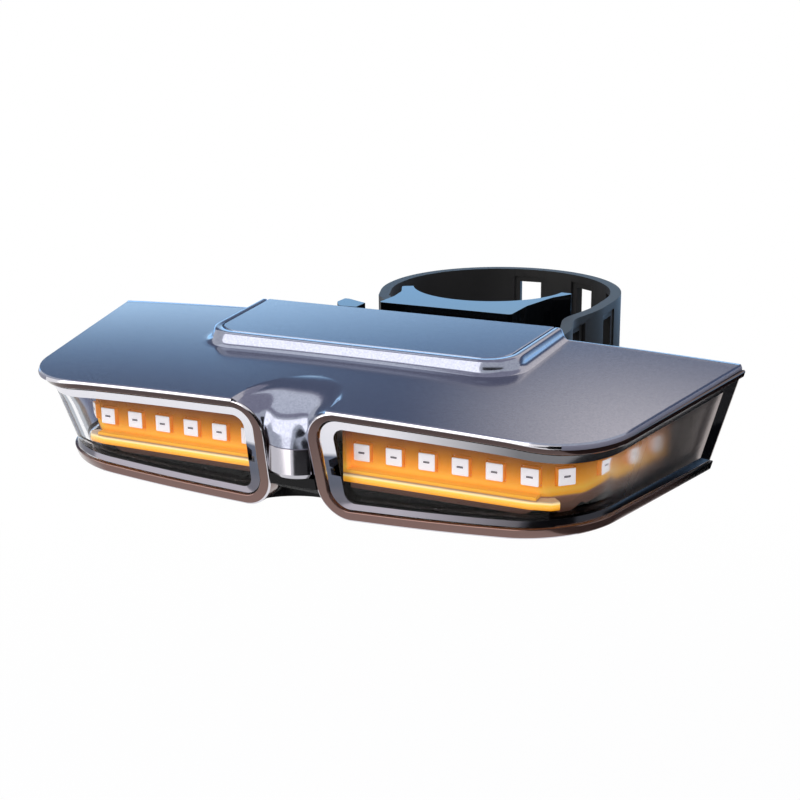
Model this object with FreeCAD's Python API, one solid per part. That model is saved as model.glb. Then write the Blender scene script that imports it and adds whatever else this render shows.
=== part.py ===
"""Bike tail light on a strap-on seatpost bracket.

Millimetres. The origin is on the axis of the seatpost, at the middle of the saddle block's height.
+Z is up along the seatpost, +Y is forwards past the seatpost, and the lenses face -Y.
The light is drawn in its own frame, whose origin is the middle of the cover's back edge,
and every light piece is put in place by in_place() at the end.
"""
import FreeCAD
import Part
import math
import os

Vec = FreeCAD.Vector
X_AXIS = Vec(1, 0, 0)
Y_AXIS = Vec(0, 1, 0)
Z_AXIS = Vec(0, 0, 1)

# seatpost and saddle block
post_radius = 12.7          # 25.4 mm seatpost, the smallest that the saddle is cut for
saddle_height = 20.0
saddle_wall = 6.9           # thinnest plastic between the post and the saddle's flat front
saddle_half_width = 11.3
pad_thickness = 1.2
pad_height = 17.0
pad_half_angle = 57.0
rim_clearance = 0.35        # the block's own rims stand this far back from the post
arm_thickness = 1.9
left_arm_angle = 62.0       # how far each arm follows the post, from the front
right_arm_angle = 84.0

# strap
strap_thickness = 1.8
strap_height = 17.0
strap_drop = 1.7            # strap edge below the saddle's top face
strap_ring_radius = 19.4    # centre line of the loose loop
strap_ring_y = 4.0
strap_tail_y = -26.4         # free end of the strap
window_width = 3.9
window_height = 12.4
window_pitch = 11.9
window_count = 6
frame_margin = 1.0          # moulded border round each window
frame_relief = 0.25
bead_radius = 1.6
bead_clearance = 0.15

# rail bracket and socket
bracket_base = 4.0
bracket_height = 13.5
bracket_half_width = 13.4
rail_height = 14.0
rail_head_width = 13.0
rail_head_depth = 2.6
rail_neck_width = 7.0
rail_gap = 0.75             # bracket face to socket lip
slide_clearance = 0.15
lip_depth = 2.2
detent_space = 1.6
socket_floor = 2.6
socket_wall = 2.8
socket_roof = 1.5
rail_top_below_cover = 3.0  # rail's top end below the light's back edge
hook_reach = 17.6           # spare hook on the left
hook_thickness = 2.6        # hook that holds the strap on the right
hook_tip = 1.6              # how far it stands out of the strap
hook_y = -23.3
hook_clearance = 0.3

# light envelope
light_half_width = 50.0
front_half_width = 41.5
cover_depth = 37.4
corner_radius = 11.0
crown_height = 1.7
crown_radius = 1000.0
crown_slope = 0.0735
edge_height = 0.8
plate_thickness = 1.6
upper_level = -2.0          # height of the upper reference outline of the sides
upper_front = 36.65
lower_level = -15.5         # height of the lower reference outline
lower_front = 33.45
lower_half_width = 46.2
lower_front_half_width = 38.5
lower_corner_radius = 11.4
floor_level = -17.15
floor_radius = 322.0
floor_slope = -0.036
floor_thickness = 1.5
back_wall = 1.8

# raised platform and its inlay
platform_front = 18.3
platform_front_half = 23.7
platform_back_half = 24.6
platform_corner = 5.0
platform_flare = 1.6
platform_level = 2.98
platform_slope = 0.0516
inlay_front = 16.9
inlay_front_half = 22.3
inlay_back_half = 23.3
inlay_corner = 4.0
inlay_thickness = 0.8
inlay_gap = 0.2

# nose between the lenses
nose_front = 35.3
nose_radius = 4.2
nose_seam = -7.2
nose_bottom = -11.5
nose_chamfer = 0.7
nose_flare = 9.4            # radius that the nose widens to at the cover
nose_roll = 6.4             # height over which the cover rolls down into the nose
crease_half_width = 8.7
crease_length = 10.0
crease_front = 36.0
ramp_back = 25.0

# bezels and lenses
bezel_depth = 2.4
bezel_lip = 1.3
bezel_nose_upper = 3.0
bezel_nose_lower = 3.65
bezel_corner_upper = 4.8
bezel_corner_lower = 4.6
band_upper = 1.15
band_lower = 1.55
band_side = 1.6
lens_recess = 0.5
lens_flange = 0.8
fit_clearance = 0.05
gasket_thickness = 0.5
frame_depth = 1.4
frame_lip = 0.6

# lamps
led_size = 2.4
led_depth = 1.2
led_rim = 0.45
led_dish = 0.25
led_level = -8.2
led_first = 8.5
led_pitch = 4.6
led_front_count = 6
led_side_pitch = 5.7
led_side_count = 3
led_board_thickness = 1.0
led_board_y = -28.9
led_board_start = 6.3
led_board_top = -5.0
led_board_bottom = -11.9
side_inset = 6.2
chamfer_run = 3.3
reflector_gap = 0.05
reflector_thickness = 0.5
reflector_top = -4.4
shelf_level = -10.9
shelf_depth = 1.6
guide_height = 1.2
guide_depth = 1.6

# electronics
board_half_width = 27.0
board_front = 22.0
board_back = 4.0
board_thickness = 1.0
board_level = -12.6
battery_length = 34.0
battery_width = 16.0
battery_height = 5.8
battery_y = -13.0
foam_thickness = 0.6
chip_x = -20.0              # controller
chip_y = -10.5
chip_size = 5.0
chip_height = 0.9
charger_x = -20.5
charger_y = -5.8
charger_size = 3.0
charger_height = 0.8
coil_y = -17.0
coil_size = 4.0
coil_height = 1.9
sensor_x = 20.0
sensor_size = 2.5
capacitor_x = -25.0
capacitor_front = -16.0
capacitor_back = -9.0
capacitor_length = 1.6
capacitor_width = 0.8
capacitor_height = 0.6
connector_x = 19.7
connector_width = 3.0
connector_depth = 4.0
connector_height = 2.4
connector_offset = 5.5      # in front of the cell's middle
lead_radius = 0.5
lead_spacing = 1.4
lead_x = 19.9
ribbon_x = 8.0
ribbon_width = 4.0
ribbon_thickness = 0.2
usb_x = 22.0
usb_width = 9.0
usb_height = 3.2
usb_depth = 7.4
usb_margin = 0.2
flap_width = 12.4
flap_height = 5.8
flap_thickness = 1.4
flap_gap = 0.2
knuckle_radius = 0.8
button_x = 0.0
button_y = -13.0
button_radius = 5.0
button_clearance = 0.1
button_proud = 0.6
button_travel = 0.4
button_flange = 1.0         # how far the flange reaches past the cap
button_flange_gap = 0.12    # above the floor
button_flange_height = 0.28
switch_size = 4.0
switch_height = 1.5
plunger_radius = 0.8

# fasteners
screw_radius = 1.0
screw_head_radius = 1.9
screw_head_height = 1.1
boss_radius = 2.3
thread_clearance = 0.02
shank_clearance = 0.1
socket_screw_length = 4.4
cover_screw_front = (15.0, -25.3)
cover_screw_back = (33.5, -9.0)
board_screw_x = 24.6
board_screw_front = -19.5
board_screw_back = -12.5
split_level = -9.0          # where the cover's bosses meet the housing's

# places worked out from the sizes above
saddle_front_y = -(post_radius + saddle_wall)
rail_head_back = saddle_front_y - bracket_base - rail_gap - lip_depth - slide_clearance
rail_head_front = rail_head_back - rail_head_depth
light_back_y = rail_head_front - detent_space - socket_floor
light_top_z = saddle_height / 2 - 0.7
board_top = board_level + board_thickness
rail_top = -rail_top_below_cover
rail_bottom = rail_top - rail_height
far = 60.0                  # beyond every face of the light


def turn(angle):
    return math.radians(angle)


def corner_parts(points, radii, closed):
    """Tangent points and arc middle of every corner of a polygon."""
    parts = []
    count = len(points)
    for i in range(count):
        here = points[i]
        if radii[i] <= 0 or (not closed and i in (0, count - 1)):
            parts.append((here, None, here))
            continue
        before = (points[i - 1] - here).normalize()
        after = (points[(i + 1) % count] - here).normalize()
        half = before.getAngle(after) / 2
        reach = radii[i] / math.tan(half)
        middle = (before + after).normalize()
        centre = here + middle * (radii[i] / math.sin(half))
        parts.append((here + before * reach, centre - middle * radii[i], here + after * reach))
    return parts


def rounded_wire(points, radii, closed=True):
    """Wire of straight runs and corner arcs through the points."""
    parts = corner_parts([Vec(p) for p in points], radii, closed)
    edges = []
    for i, (start, middle, end) in enumerate(parts):
        if middle is not None:
            edges.append(Part.Arc(start, middle, end).toShape())
        if i == len(parts) - 1 and not closed:
            break
        following = parts[(i + 1) % len(parts)][0]
        if end.distanceToPoint(following) > 1e-4:
            edges.append(Part.LineSegment(end, following).toShape())
    return Part.Wire(edges)


def plan_prism(points, radii, low, high):
    wire = rounded_wire([(x, y, low) for x, y in points], radii)
    return Part.Face(wire).extrude(Vec(0, 0, high - low))


def offset_points(points, distance):
    """Open path moved sideways, positive to the left of its direction."""
    path = [Vec(x, y, 0) for x, y in points]
    sides = []
    for a, b in zip(path, path[1:]):
        along = (b - a).normalize()
        sides.append((a, along, Vec(-along.y, along.x, 0)))
    moved = [path[0] + sides[0][2] * distance]
    for (a, first, side_a), (b, second, side_b) in zip(sides, sides[1:]):
        half = side_a.getAngle(side_b) / 2
        middle = (side_a + side_b).normalize()
        moved.append(b + middle * (distance / math.cos(half)))
    moved.append(path[-1] + sides[-1][2] * distance)
    return [(p.x, p.y) for p in moved]


def turns_left(points):
    """True at each inner point where an open path turns left."""
    flags = [False]
    for a, b, c in zip(points, points[1:], points[2:]):
        cross = (b[0] - a[0]) * (c[1] - b[1]) - (b[1] - a[1]) * (c[0] - b[0])
        flags.append(cross > 0)
    flags.append(False)
    return flags


def band(points, radii, inner, outer, low, high):
    """Flat strip stood on edge, between two offsets of an open plan path."""
    sides = []
    for distance in (inner, outer):
        changed = []
        for radius, left in zip(radii, turns_left(points)):
            grown = radius - distance if left else radius + distance
            changed.append(max(grown, 0) if radius > 0 else 0)
        moved = [(x, y, low) for x, y in offset_points(points, distance)]
        sides.append(rounded_wire(moved, changed, closed=False))
    first = sides[0].OrderedVertexes
    second = sides[1].OrderedVertexes
    ends = [
        Part.LineSegment(first[0].Point, second[0].Point).toShape(),
        Part.LineSegment(first[-1].Point, second[-1].Point).toShape(),
    ]
    outline = Part.Wire(Part.__sortEdges__(sides[0].Edges + sides[1].Edges + ends))
    return Part.Face(outline).extrude(Vec(0, 0, high - low))


def block(x0, x1, y0, y1, z0, z1):
    return Part.makeBox(x1 - x0, y1 - y0, z1 - z0, Vec(x0, y0, z0))


def rod(radius, start, axis, length):
    return Part.makeCylinder(radius, length, Vec(start), axis)


def ellipsoid(centre, radii):
    stretch = FreeCAD.Matrix()
    stretch.scale(radii[0], radii[1], radii[2])
    shape = Part.makeSphere(1.0).transformGeometry(stretch)
    shape.translate(Vec(centre))
    return shape


def mirrored(shape):
    return shape.mirror(Vec(0, 0, 0), X_AXIS)


def joined(shapes):
    whole = shapes[0]
    if len(shapes) > 1:
        whole = whole.multiFuse(shapes[1:])
    return whole.removeSplitter()


def crown_z(x, y):
    return crown_height + crown_slope * y - x * x / (2 * crown_radius)


def floor_z(x, y):
    return floor_level + floor_slope * (y + lower_front) + x * x / (2 * floor_radius)


def crowned_body(drop):
    """Everything under the cover's crowned top surface, lowered by drop."""
    angle = math.atan(crown_slope)
    along = Vec(0, math.cos(angle), math.sin(angle))
    normal = Vec(0, -math.sin(angle), math.cos(angle))
    crest = Vec(0, 0, crown_height - drop)
    start = crest - normal * crown_radius - along * (2 * far)
    return Part.makeCylinder(crown_radius, 4 * far, start, along)


def above_floor(rise):
    """Everything over the bowed underside, raised by rise."""
    angle = math.atan(floor_slope)
    along = Vec(0, math.cos(angle), math.sin(angle))
    normal = Vec(0, -math.sin(angle), math.cos(angle))
    crest = Vec(0, -lower_front, floor_level + rise)
    start = crest + normal * floor_radius - along * (2 * far)
    return Part.makeCylinder(floor_radius, 4 * far, start, along)


def side_outline(level, inset):
    """Plan outline of the lens faces at one height, moved in by inset except at the back."""
    share = (level - upper_level) / (lower_level - upper_level)
    back = light_half_width + share * (lower_half_width - light_half_width)
    front = front_half_width + share * (lower_front_half_width - front_half_width)
    depth = upper_front + share * (lower_front - upper_front)
    radius = corner_radius + share * (lower_corner_radius - corner_radius)
    slope = (back - front) / depth
    back = back - inset * math.hypot(1, slope)
    depth = depth - inset
    front = back - slope * depth
    return back, front, depth, max(radius - inset, 0.6)


def outline_wire(level, inset):
    back, front, depth, radius = side_outline(level, inset)
    points = [(-back, 0, level), (back, 0, level), (front, -depth, level), (-front, -depth, level)]
    return rounded_wire(points, [0, 0, radius, radius])


def envelope(inset):
    """Tapered solid inside the lens faces, moved in by inset."""
    return Part.makeLoft([outline_wire(5.0, inset), outline_wire(-21.0, inset)], True, True)


def wall_zone(near, deep):
    return envelope(near).cut(envelope(deep))


def cover_outline(inset, back_inset, low, high):
    slope = (light_half_width - front_half_width) / cover_depth
    back = light_half_width - inset * math.hypot(1, slope) - slope * back_inset
    depth = cover_depth - inset
    front = back - slope * (depth - back_inset)
    points = [(-back, -back_inset), (back, -back_inset), (front, -depth), (-front, -depth)]
    radius = max(corner_radius - inset, 0.6)
    return plan_prism(points, [0, 0, radius, radius], low, high)


def rim_prism(margin_top, margin_bottom, nose_upper, nose_lower, r_upper, r_lower):
    """Right-hand front view of a lens opening, run through the light along Y."""
    top = []
    bottom = []
    stations = (nose_upper, 0.5 * front_half_width, front_half_width - 4.0)
    for x in stations:
        top.append((x, crown_z(x, -cover_depth) - edge_height - margin_top))
    top.append((light_half_width, crown_z(light_half_width, 0) - edge_height - margin_top))
    stations = (nose_lower, 0.5 * front_half_width, lower_front_half_width - 3.0)
    for x in stations:
        bottom.append((x, floor_z(x, -lower_front) + margin_bottom))
    back_low = floor_z(lower_half_width, 0) + margin_bottom
    bottom.append((lower_half_width + 0.6, back_low))
    slope_top = (top[-1][1] - top[-2][1]) / (top[-1][0] - top[-2][0])
    top.append((far, top[-1][1] + slope_top * (far - top[-1][0])))
    bottom.append((far, back_low))
    outline = top + bottom[::-1]
    radii = [0.0] * len(outline)
    radii[0] = r_upper
    radii[-1] = r_lower
    wire = rounded_wire([(x, -far, z) for x, z in outline], radii)
    return Part.Face(wire).extrude(Vec(0, 2 * far, 0))


def opening(grow):
    """Lens opening, grown by a margin all round."""
    return rim_prism(
        band_upper - grow, band_lower - grow,
        bezel_nose_upper + band_side - grow, bezel_nose_lower + band_side - grow,
        bezel_corner_upper - band_side + grow, bezel_corner_lower - band_side + grow,
    )


def bezel_seat(grow):
    """Outer outline of a bezel; it runs past the cover's underside and the floor."""
    return rim_prism(
        -0.1 - grow, -0.1 - grow,
        bezel_nose_upper - grow, bezel_nose_lower - grow,
        bezel_corner_upper + grow, bezel_corner_lower + grow,
    )


def both_bezel_seats(grow):
    seat = bezel_seat(grow)
    return joined([seat, mirrored(seat)])


def bezel_right():
    full = wall_zone(0, bezel_depth).common(bezel_seat(0))
    full = full.common(crowned_body(edge_height)).common(above_floor(0))
    rabbet = opening(lens_flange).common(wall_zone(bezel_lip, bezel_depth + 1))
    return full.cut(joined([opening(0).common(wall_zone(-1, bezel_lip)), rabbet]))


def lens_right():
    plug = opening(-fit_clearance).common(wall_zone(lens_recess, bezel_lip + fit_clearance))
    flange_zone = wall_zone(bezel_lip + fit_clearance, bezel_depth)
    flange = opening(lens_flange - fit_clearance).common(flange_zone)
    flange = flange.common(crowned_body(edge_height + 0.2)).common(above_floor(0.2))
    return joined([plug, flange])


def lens_gasket_right():
    zone = wall_zone(bezel_depth + fit_clearance, bezel_depth + gasket_thickness)
    ring = opening(band_lower - 0.3).cut(opening(-0.2))
    return zone.common(ring).common(above_floor(0.2)).common(crowned_body(plate_thickness))


def inlay_outline(gap):
    front = inlay_front_half + gap
    back = inlay_back_half + gap
    return [(-back, far), (-back, 0), (-front, -inlay_front - gap),
            (front, -inlay_front - gap), (back, 0), (back, far)]


def inlay_prism(gap, low, high):
    radius = inlay_corner + gap
    return plan_prism(inlay_outline(gap), [0, 0, radius, radius, 0, 0], low, high)


def platform_top(drop):
    """Everything under the sloping top of the platform, lowered by drop."""
    level = platform_level - drop
    low_z = level - platform_slope * far
    high_z = level + platform_slope * far
    points = [(-far, -far, low_z), (-far, far, high_z), (-far, far, -far), (-far, -far, -far)]
    return Part.Face(rounded_wire(points, [0] * 4)).extrude(Vec(2 * far, 0, 0))


def platform_outline(flare, level):
    front = platform_front + flare
    half_front = platform_front_half + flare
    half_back = platform_back_half + flare
    points = [(-half_back, 0, level), (half_back, 0, level),
              (half_front, -front, level), (-half_front, -front, level)]
    radius = platform_corner + flare
    return rounded_wire(points, [0, 0, radius, radius])


def platform():
    foot = crown_z(platform_front_half, -platform_front) - plate_thickness / 2
    rise = platform_level - foot
    low = platform_outline(platform_flare, foot)
    high = platform_outline(0, foot + rise)
    return Part.makeLoft([low, high], True, True).common(platform_top(0))


def nose_form():
    """The nose: a column that widens upwards, rolled over at the top into the cover."""
    top = crown_z(0, -crease_front + crease_length)
    narrow = Part.Circle(Vec(0, -nose_front + nose_radius, nose_seam), Z_AXIS, nose_radius)
    wide = Part.Circle(Vec(0, -nose_front + nose_flare, top + 1), Z_AXIS, nose_flare)
    bell = Part.makeLoft([Part.Wire(narrow.toShape()), Part.Wire(wide.toShape())], True, True)
    length = crease_front - crease_length
    run = nose_front - length
    roll = Part.Ellipse(Vec(-far, -length, top - nose_roll), run, nose_roll).toShape()
    roll.rotate(Vec(-far, -length, top - nose_roll), Z_AXIS, 90)
    roll.rotate(Vec(-far, -length, top - nose_roll), Y_AXIS, 90)
    rolled = Part.Face(Part.Wire(roll)).extrude(Vec(2 * far, 0, 0))
    behind = block(-far, far, -length, far, top - nose_roll - far, top)
    below = block(-far, far, -nose_front, far, top - nose_roll - far, top - nose_roll)
    return bell.common(joined([rolled, behind, below]))


def crease_prism(low, high):
    ellipse = Part.Ellipse(Vec(0, -crease_front, low), crease_length, crease_half_width)
    wire = Part.Wire(ellipse.toShape())
    wire.rotate(Vec(0, -crease_front, low), Z_AXIS, 90)
    return Part.Face(wire).extrude(Vec(0, 0, high - low))


def cover_screw_places():
    places = []
    for x, y in (cover_screw_front, cover_screw_back):
        places += [(x, y), (-x, y)]
    return places


def top_housing():
    rim = cover_outline(0, 0, -far / 4, far / 4)
    rim = rim.common(crowned_body(0)).cut(crowned_body(edge_height))
    middle = cover_outline(housing_inset(), 0, -far / 4, far / 4)
    middle = middle.common(crowned_body(0)).cut(crowned_body(plate_thickness))
    raised = platform().cut(crowned_body(plate_thickness))
    nose = nose_form().cut(both_bezel_seats(fit_clearance)).common(crowned_body(0))
    plate = joined([rim, middle]).cut(crease_prism(-far / 4, far / 4))
    whole = joined([plate, raised, nose])
    pocket = block(-inlay_front_half + 4, inlay_front_half - 4, -inlay_front + 2, -2.5,
                   -far / 4, far / 4).common(platform_top(inlay_thickness + plate_thickness))
    recess = inlay_prism(inlay_gap, -far / 4, far / 4).cut(platform_top(inlay_thickness))
    whole = whole.cut(joined([pocket, recess]))
    bosses = [whole]
    for x, y in cover_screw_places():
        top = crown_z(x, y) - plate_thickness / 2
        bosses.append(rod(boss_radius, (x, y, split_level), Z_AXIS, top - split_level))
    whole = joined(bosses)
    for x, y in cover_screw_places():
        depth = -split_level - 3.2
        whole = whole.cut(rod(screw_radius + thread_clearance, (x, y, split_level), Z_AXIS, depth))
    return whole


def top_inlay_plate():
    plate = inlay_prism(0, -far / 4, far / 4).common(block(-far, far, -far, 0, -far, far))
    return plate.common(platform_top(0)).cut(platform_top(inlay_thickness - 0.02))


def nose_trim():
    height = nose_seam - fit_clearance - nose_bottom
    column = rod(nose_radius, (0, -nose_front + nose_radius, nose_bottom), Z_AXIS, height)
    lower = [e for e in column.Edges if abs(e.CenterOfMass.z - nose_bottom) < 0.01]
    column = column.makeChamfer(nose_chamfer, lower)
    core = block(-2.8, 2.8, -nose_front + nose_radius, -ramp_back - 1.0, nose_bottom,
                 nose_bottom + height)
    front = joined([column, core]).cut(both_bezel_seats(fit_clearance))
    keep = block(-2.8, 2.8, -far, far, -far, far).cut(envelope(bezel_depth))
    keep = joined([keep.fuse(block(-2.8, 2.8, -far, far, -far, far)),
                   wall_zone(-1, bezel_depth)])
    return front.common(keep)


def housing_edge():
    """Inset of the lower housing's edge, behind the bezel and the lens gasket."""
    return bezel_depth + gasket_thickness + fit_clearance


def housing_inset():
    """The same edge measured from the cover's outline."""
    return cover_depth - upper_front + housing_edge()


def housing_body():
    """Floor, back wall and the frames behind the lenses, before any hole."""
    seal_room = plate_thickness + 0.9
    whole = envelope(housing_edge()).common(above_floor(0)).common(crowned_body(seal_room))
    inside = block(-far, far, -far, -back_wall, -far, far)
    cavity = envelope(housing_edge() + frame_depth).common(above_floor(floor_thickness))
    window = opening(-frame_lip)
    windows = joined([window, mirrored(window)]).common(inside)
    nose_room = block(-crease_half_width, crease_half_width, -far, -ramp_back,
                      nose_bottom - fit_clearance, far).cut(both_bezel_seats(-0.1))
    shell = whole.cut(cavity.common(inside)).cut(windows).cut(nose_room)
    centre = crease_prism(-far / 2, nose_bottom - fit_clearance)
    chin = centre.common(envelope(0)).common(above_floor(0))
    return joined([shell, chin.cut(both_bezel_seats(fit_clearance))])


def ramp_cutter():
    """Slope under the nose, from the trim's foot back to the floor."""
    top = nose_bottom - 0.9
    low = floor_z(0, -ramp_back)
    points = [(-far, -nose_front - 0.2, top), (-far, -ramp_back, low),
              (-far, -ramp_back, low - 9), (-far, -far, low - 9), (-far, -far, top)]
    wedge = Part.Face(rounded_wire(points, [0] * 5)).extrude(Vec(2 * far, 0, 0))
    return wedge.common(crease_prism(-far, far)).cut(both_bezel_seats(fit_clearance))


def bottom_housing():
    shape = housing_body().cut(ramp_cutter())
    additions = [shape]
    for x, y in cover_screw_places():
        low = floor_z(x, y) + floor_thickness / 2
        additions.append(rod(boss_radius, (x, y, low), Z_AXIS, split_level - fit_clearance - low))
    for x in (-board_screw_x, board_screw_x):
        for y in (board_screw_front, board_screw_back):
            low = floor_z(x, y) + floor_thickness / 2
            additions.append(rod(boss_radius, (x, y, low), Z_AXIS, board_level - low))
    for z in socket_screw_levels():
        additions.append(rod(boss_radius, (0, -back_wall + 0.2, z), -Y_AXIS, 2.2))
    shape = joined(additions)
    holes = []
    for x, y in cover_screw_places():
        low = floor_z(x, y) - 1
        holes.append(rod(screw_radius + shank_clearance, (x, y, low), Z_AXIS, -low))
        holes.append(rod(screw_head_radius + 0.2, (x, y, low), Z_AXIS, screw_head_height + 1.2))
    for x in (-board_screw_x, board_screw_x):
        for y in (board_screw_front, board_screw_back):
            low = floor_z(x, y) + floor_thickness
            holes.append(rod(screw_radius + thread_clearance, (x, y, low), Z_AXIS, -low))
    for z in socket_screw_levels():
        start = (0, far / 4, z)
        holes.append(rod(screw_radius + thread_clearance, start, -Y_AXIS, far / 4 + 3.4))
    holes.append(rod(button_radius + button_clearance, (button_x, button_y, -far), Z_AXIS, far - 14))
    holes += usb_holes()
    return shape.cut(joined(holes))


def usb_centre_z():
    return board_top + usb_height / 2


def knuckle_z():
    return usb_centre_z() + flap_height / 2 + knuckle_radius - 0.3


def usb_holes():
    mid = usb_centre_z()
    wide = usb_width / 2 + usb_margin
    tall = usb_height / 2 + usb_margin
    mouth = block(usb_x - wide, usb_x + wide, -far / 4, far / 4, mid - tall, mid + tall)
    mouth = mouth.common(block(-far, far, -back_wall - 1, far, -far, far))
    half = flap_width / 2 + flap_gap
    recess_floor = -flap_thickness + 0.4
    low = mid - flap_height / 2 - flap_gap
    high = knuckle_z() + knuckle_radius + flap_gap
    recess = block(usb_x - half, usb_x + half, recess_floor, far / 4, low, high)
    return [mouth, recess]


def usb_cover():
    mid = usb_centre_z()
    half = flap_width / 2
    inner = -flap_thickness + 0.4 + 0.1
    plate = block(usb_x - half, usb_x + half, inner, inner + flap_thickness,
                  mid - flap_height / 2, mid + flap_height / 2)
    corners = [e for e in plate.Edges
               if abs(e.tangentAt(e.FirstParameter).y) > 0.9 and e.CenterOfMass.z < mid]
    plate = plate.makeFillet(1.4, corners)
    knuckle = rod(knuckle_radius, (usb_x - half + 0.6, knuckle_y(), knuckle_z()), X_AXIS,
                  flap_width - 1.2)
    web = block(usb_x - half + 0.6, usb_x + half - 0.6, knuckle_y() - 0.4, knuckle_y() + 0.5,
                mid + flap_height / 2 - 0.4, knuckle_z())
    plug_half = usb_width / 2 - 0.3
    plug_tall = usb_height / 2 - 0.35
    plug = block(usb_x - plug_half, usb_x + plug_half, inner - 0.6, inner + 0.1,
                 mid - plug_tall, mid + plug_tall)
    return joined([plate, knuckle, web, plug])


def knuckle_y():
    return -flap_thickness + 0.4 + 0.1 + knuckle_radius


def usb_socket():
    mouth = -back_wall - 0.1
    shell = block(usb_x - usb_width / 2, usb_x + usb_width / 2, mouth - usb_depth, mouth,
                  board_top, board_top + usb_height)
    rounds = [e for e in shell.Edges if abs(e.tangentAt(e.FirstParameter).y) > 0.9]
    shell = shell.makeFillet(1.2, rounds)
    well = block(usb_x - usb_width / 2 + 0.4, usb_x + usb_width / 2 - 0.4, mouth - usb_depth + 1,
                 far / 4, board_top + 0.4, board_top + usb_height - 0.4)
    rounds = [e for e in well.Edges if abs(e.tangentAt(e.FirstParameter).y) > 0.9]
    well = well.makeFillet(0.9, rounds)
    tongue = block(usb_x - 3.3, usb_x + 3.3, mouth - usb_depth + 0.8, mouth - 0.9,
                   board_top + usb_height / 2 - 0.35, board_top + usb_height / 2 + 0.35)
    return joined([shell.cut(well), tongue])


def led_path():
    """Plan path of the right-hand lamp board: front run, chamfered corner, side run."""
    back, front, depth, radius = side_outline(led_level, 0)
    slope = (back - front) / depth
    start_x = back - side_inset * math.hypot(1, slope)
    corner_y = led_board_y + chamfer_run
    corner_x = start_x + slope * corner_y
    end_y = -7.0
    return [(led_board_start, led_board_y), (corner_x - chamfer_run, led_board_y),
            (corner_x, corner_y), (start_x + slope * end_y, end_y)]


def led_band(inner, outer, low, high):
    """Strip that follows the lamp board; positive offsets are on the inside of the light."""
    return band(led_path(), [0, 0.8, 0.8, 0], inner, outer, low, high)


def led_places():
    """Centre and outward direction of each right-hand lamp."""
    path = led_path()
    places = []
    for i in range(led_front_count):
        places.append((led_first + i * led_pitch, led_board_y, Vec(0, -1, 0)))
    (ax, ay), (bx, by), (cx, cy) = path[1], path[2], path[3]
    along = Vec(bx - ax, by - ay, 0).normalize()
    places.append(((ax + bx) / 2, (ay + by) / 2, Vec(along.y, -along.x, 0)))
    along = Vec(cx - bx, cy - by, 0).normalize()
    for i in range(led_side_count):
        point = Vec(bx, by, 0) + along * (led_side_pitch * (i + 0.7))
        places.append((point.x, point.y, Vec(along.y, -along.x, 0)))
    return places


def led_block(size, near, away):
    """Square block standing off each lamp place, one per lamp."""
    shapes = []
    for x, y, out in led_places():
        chip = block(near, away, -size / 2, size / 2, led_level - size / 2, led_level + size / 2)
        chip.rotate(Vec(0, 0, 0), Z_AXIS, math.degrees(math.atan2(out.y, out.x)))
        chip.translate(Vec(x, y, 0))
        shapes.append(chip)
    return shapes


def leds_right():
    half = led_board_thickness / 2
    dish = []
    face = half + led_depth
    for chip, pit in zip(led_block(led_size, half, face),
                         led_block(led_size - 2 * led_rim, face - led_dish, face + led_depth)):
        dish.append(chip.cut(pit))
    return Part.makeCompound(dish)


def led_board_right():
    half = led_board_thickness / 2
    return led_band(-half, half, led_board_bottom, led_board_top)


def reflector_right():
    near = led_board_thickness / 2 + reflector_gap
    plate = led_band(-near - reflector_thickness, -near, -far / 3, reflector_top)
    plate = plate.common(above_floor(floor_thickness + 0.1))
    plate = plate.common(envelope(housing_edge() + frame_depth + 0.1))
    holes = led_block(led_size + 0.2, 0, far / 12)
    plate = plate.cut(joined(holes))
    front = led_path()[1][0]
    shelf = block(led_board_start, front, led_board_y - near - reflector_thickness - shelf_depth,
                  led_board_y - near - reflector_thickness / 2, shelf_level - 0.01,
                  shelf_level + 0.5)
    cheek = block(led_board_start, led_board_start + 0.5,
                  led_board_y - near - reflector_thickness - shelf_depth,
                  led_board_y - near - reflector_thickness / 2, shelf_level, reflector_top)
    return joined([plate, shelf, cheek])


def light_guide_right():
    near = led_board_thickness / 2 + reflector_gap + reflector_thickness
    y = led_board_y - near - 0.05
    front = led_path()[1][0]
    bar = block(led_board_start, front, y - guide_depth, y, shelf_level - 0.05 - guide_height,
                shelf_level - 0.05)
    lower = [e for e in bar.Edges
             if abs(e.tangentAt(e.FirstParameter).x) > 0.9 and e.CenterOfMass.y < y - 1]
    return bar.makeFillet(guide_height * 0.35, lower)


def main_board():
    shape = block(-board_half_width, board_half_width, -board_front, -board_back, board_level,
                  board_top)
    corners = [e for e in shape.Edges if abs(e.tangentAt(e.FirstParameter).z) > 0.9]
    shape = shape.makeFillet(1.5, corners)
    for x in (-board_screw_x, board_screw_x):
        for y in (board_screw_front, board_screw_back):
            hole = rod(screw_radius + shank_clearance, (x, y, -far), Z_AXIS, far)
            shape = shape.cut(hole)
    return shape


def board_components():
    """Controller, charger, coil and sensor, as separate bodies on the board."""
    small = (capacitor_length, capacitor_width, capacitor_height)
    sizes = [(chip_x, chip_y, chip_size, chip_size, chip_height),
             (charger_x, charger_y, charger_size, charger_size, charger_height),
             (chip_x, coil_y, coil_size, coil_size, coil_height),
             (sensor_x, battery_y, sensor_size, sensor_size, chip_height),
             (capacitor_x, capacitor_front, *small), (capacitor_x, capacitor_back, *small)]
    parts = []
    for x, y, wide, deep, tall in sizes:
        parts.append(block(x - wide / 2, x + wide / 2, y - deep / 2, y + deep / 2, board_top,
                           board_top + tall))
    return Part.makeCompound(parts)


def battery_pad():
    half = battery_length / 2 - 2
    deep = battery_width / 2 - 2
    return block(-half, half, battery_y - deep, battery_y + deep, board_top,
                 board_top + foam_thickness)


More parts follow.
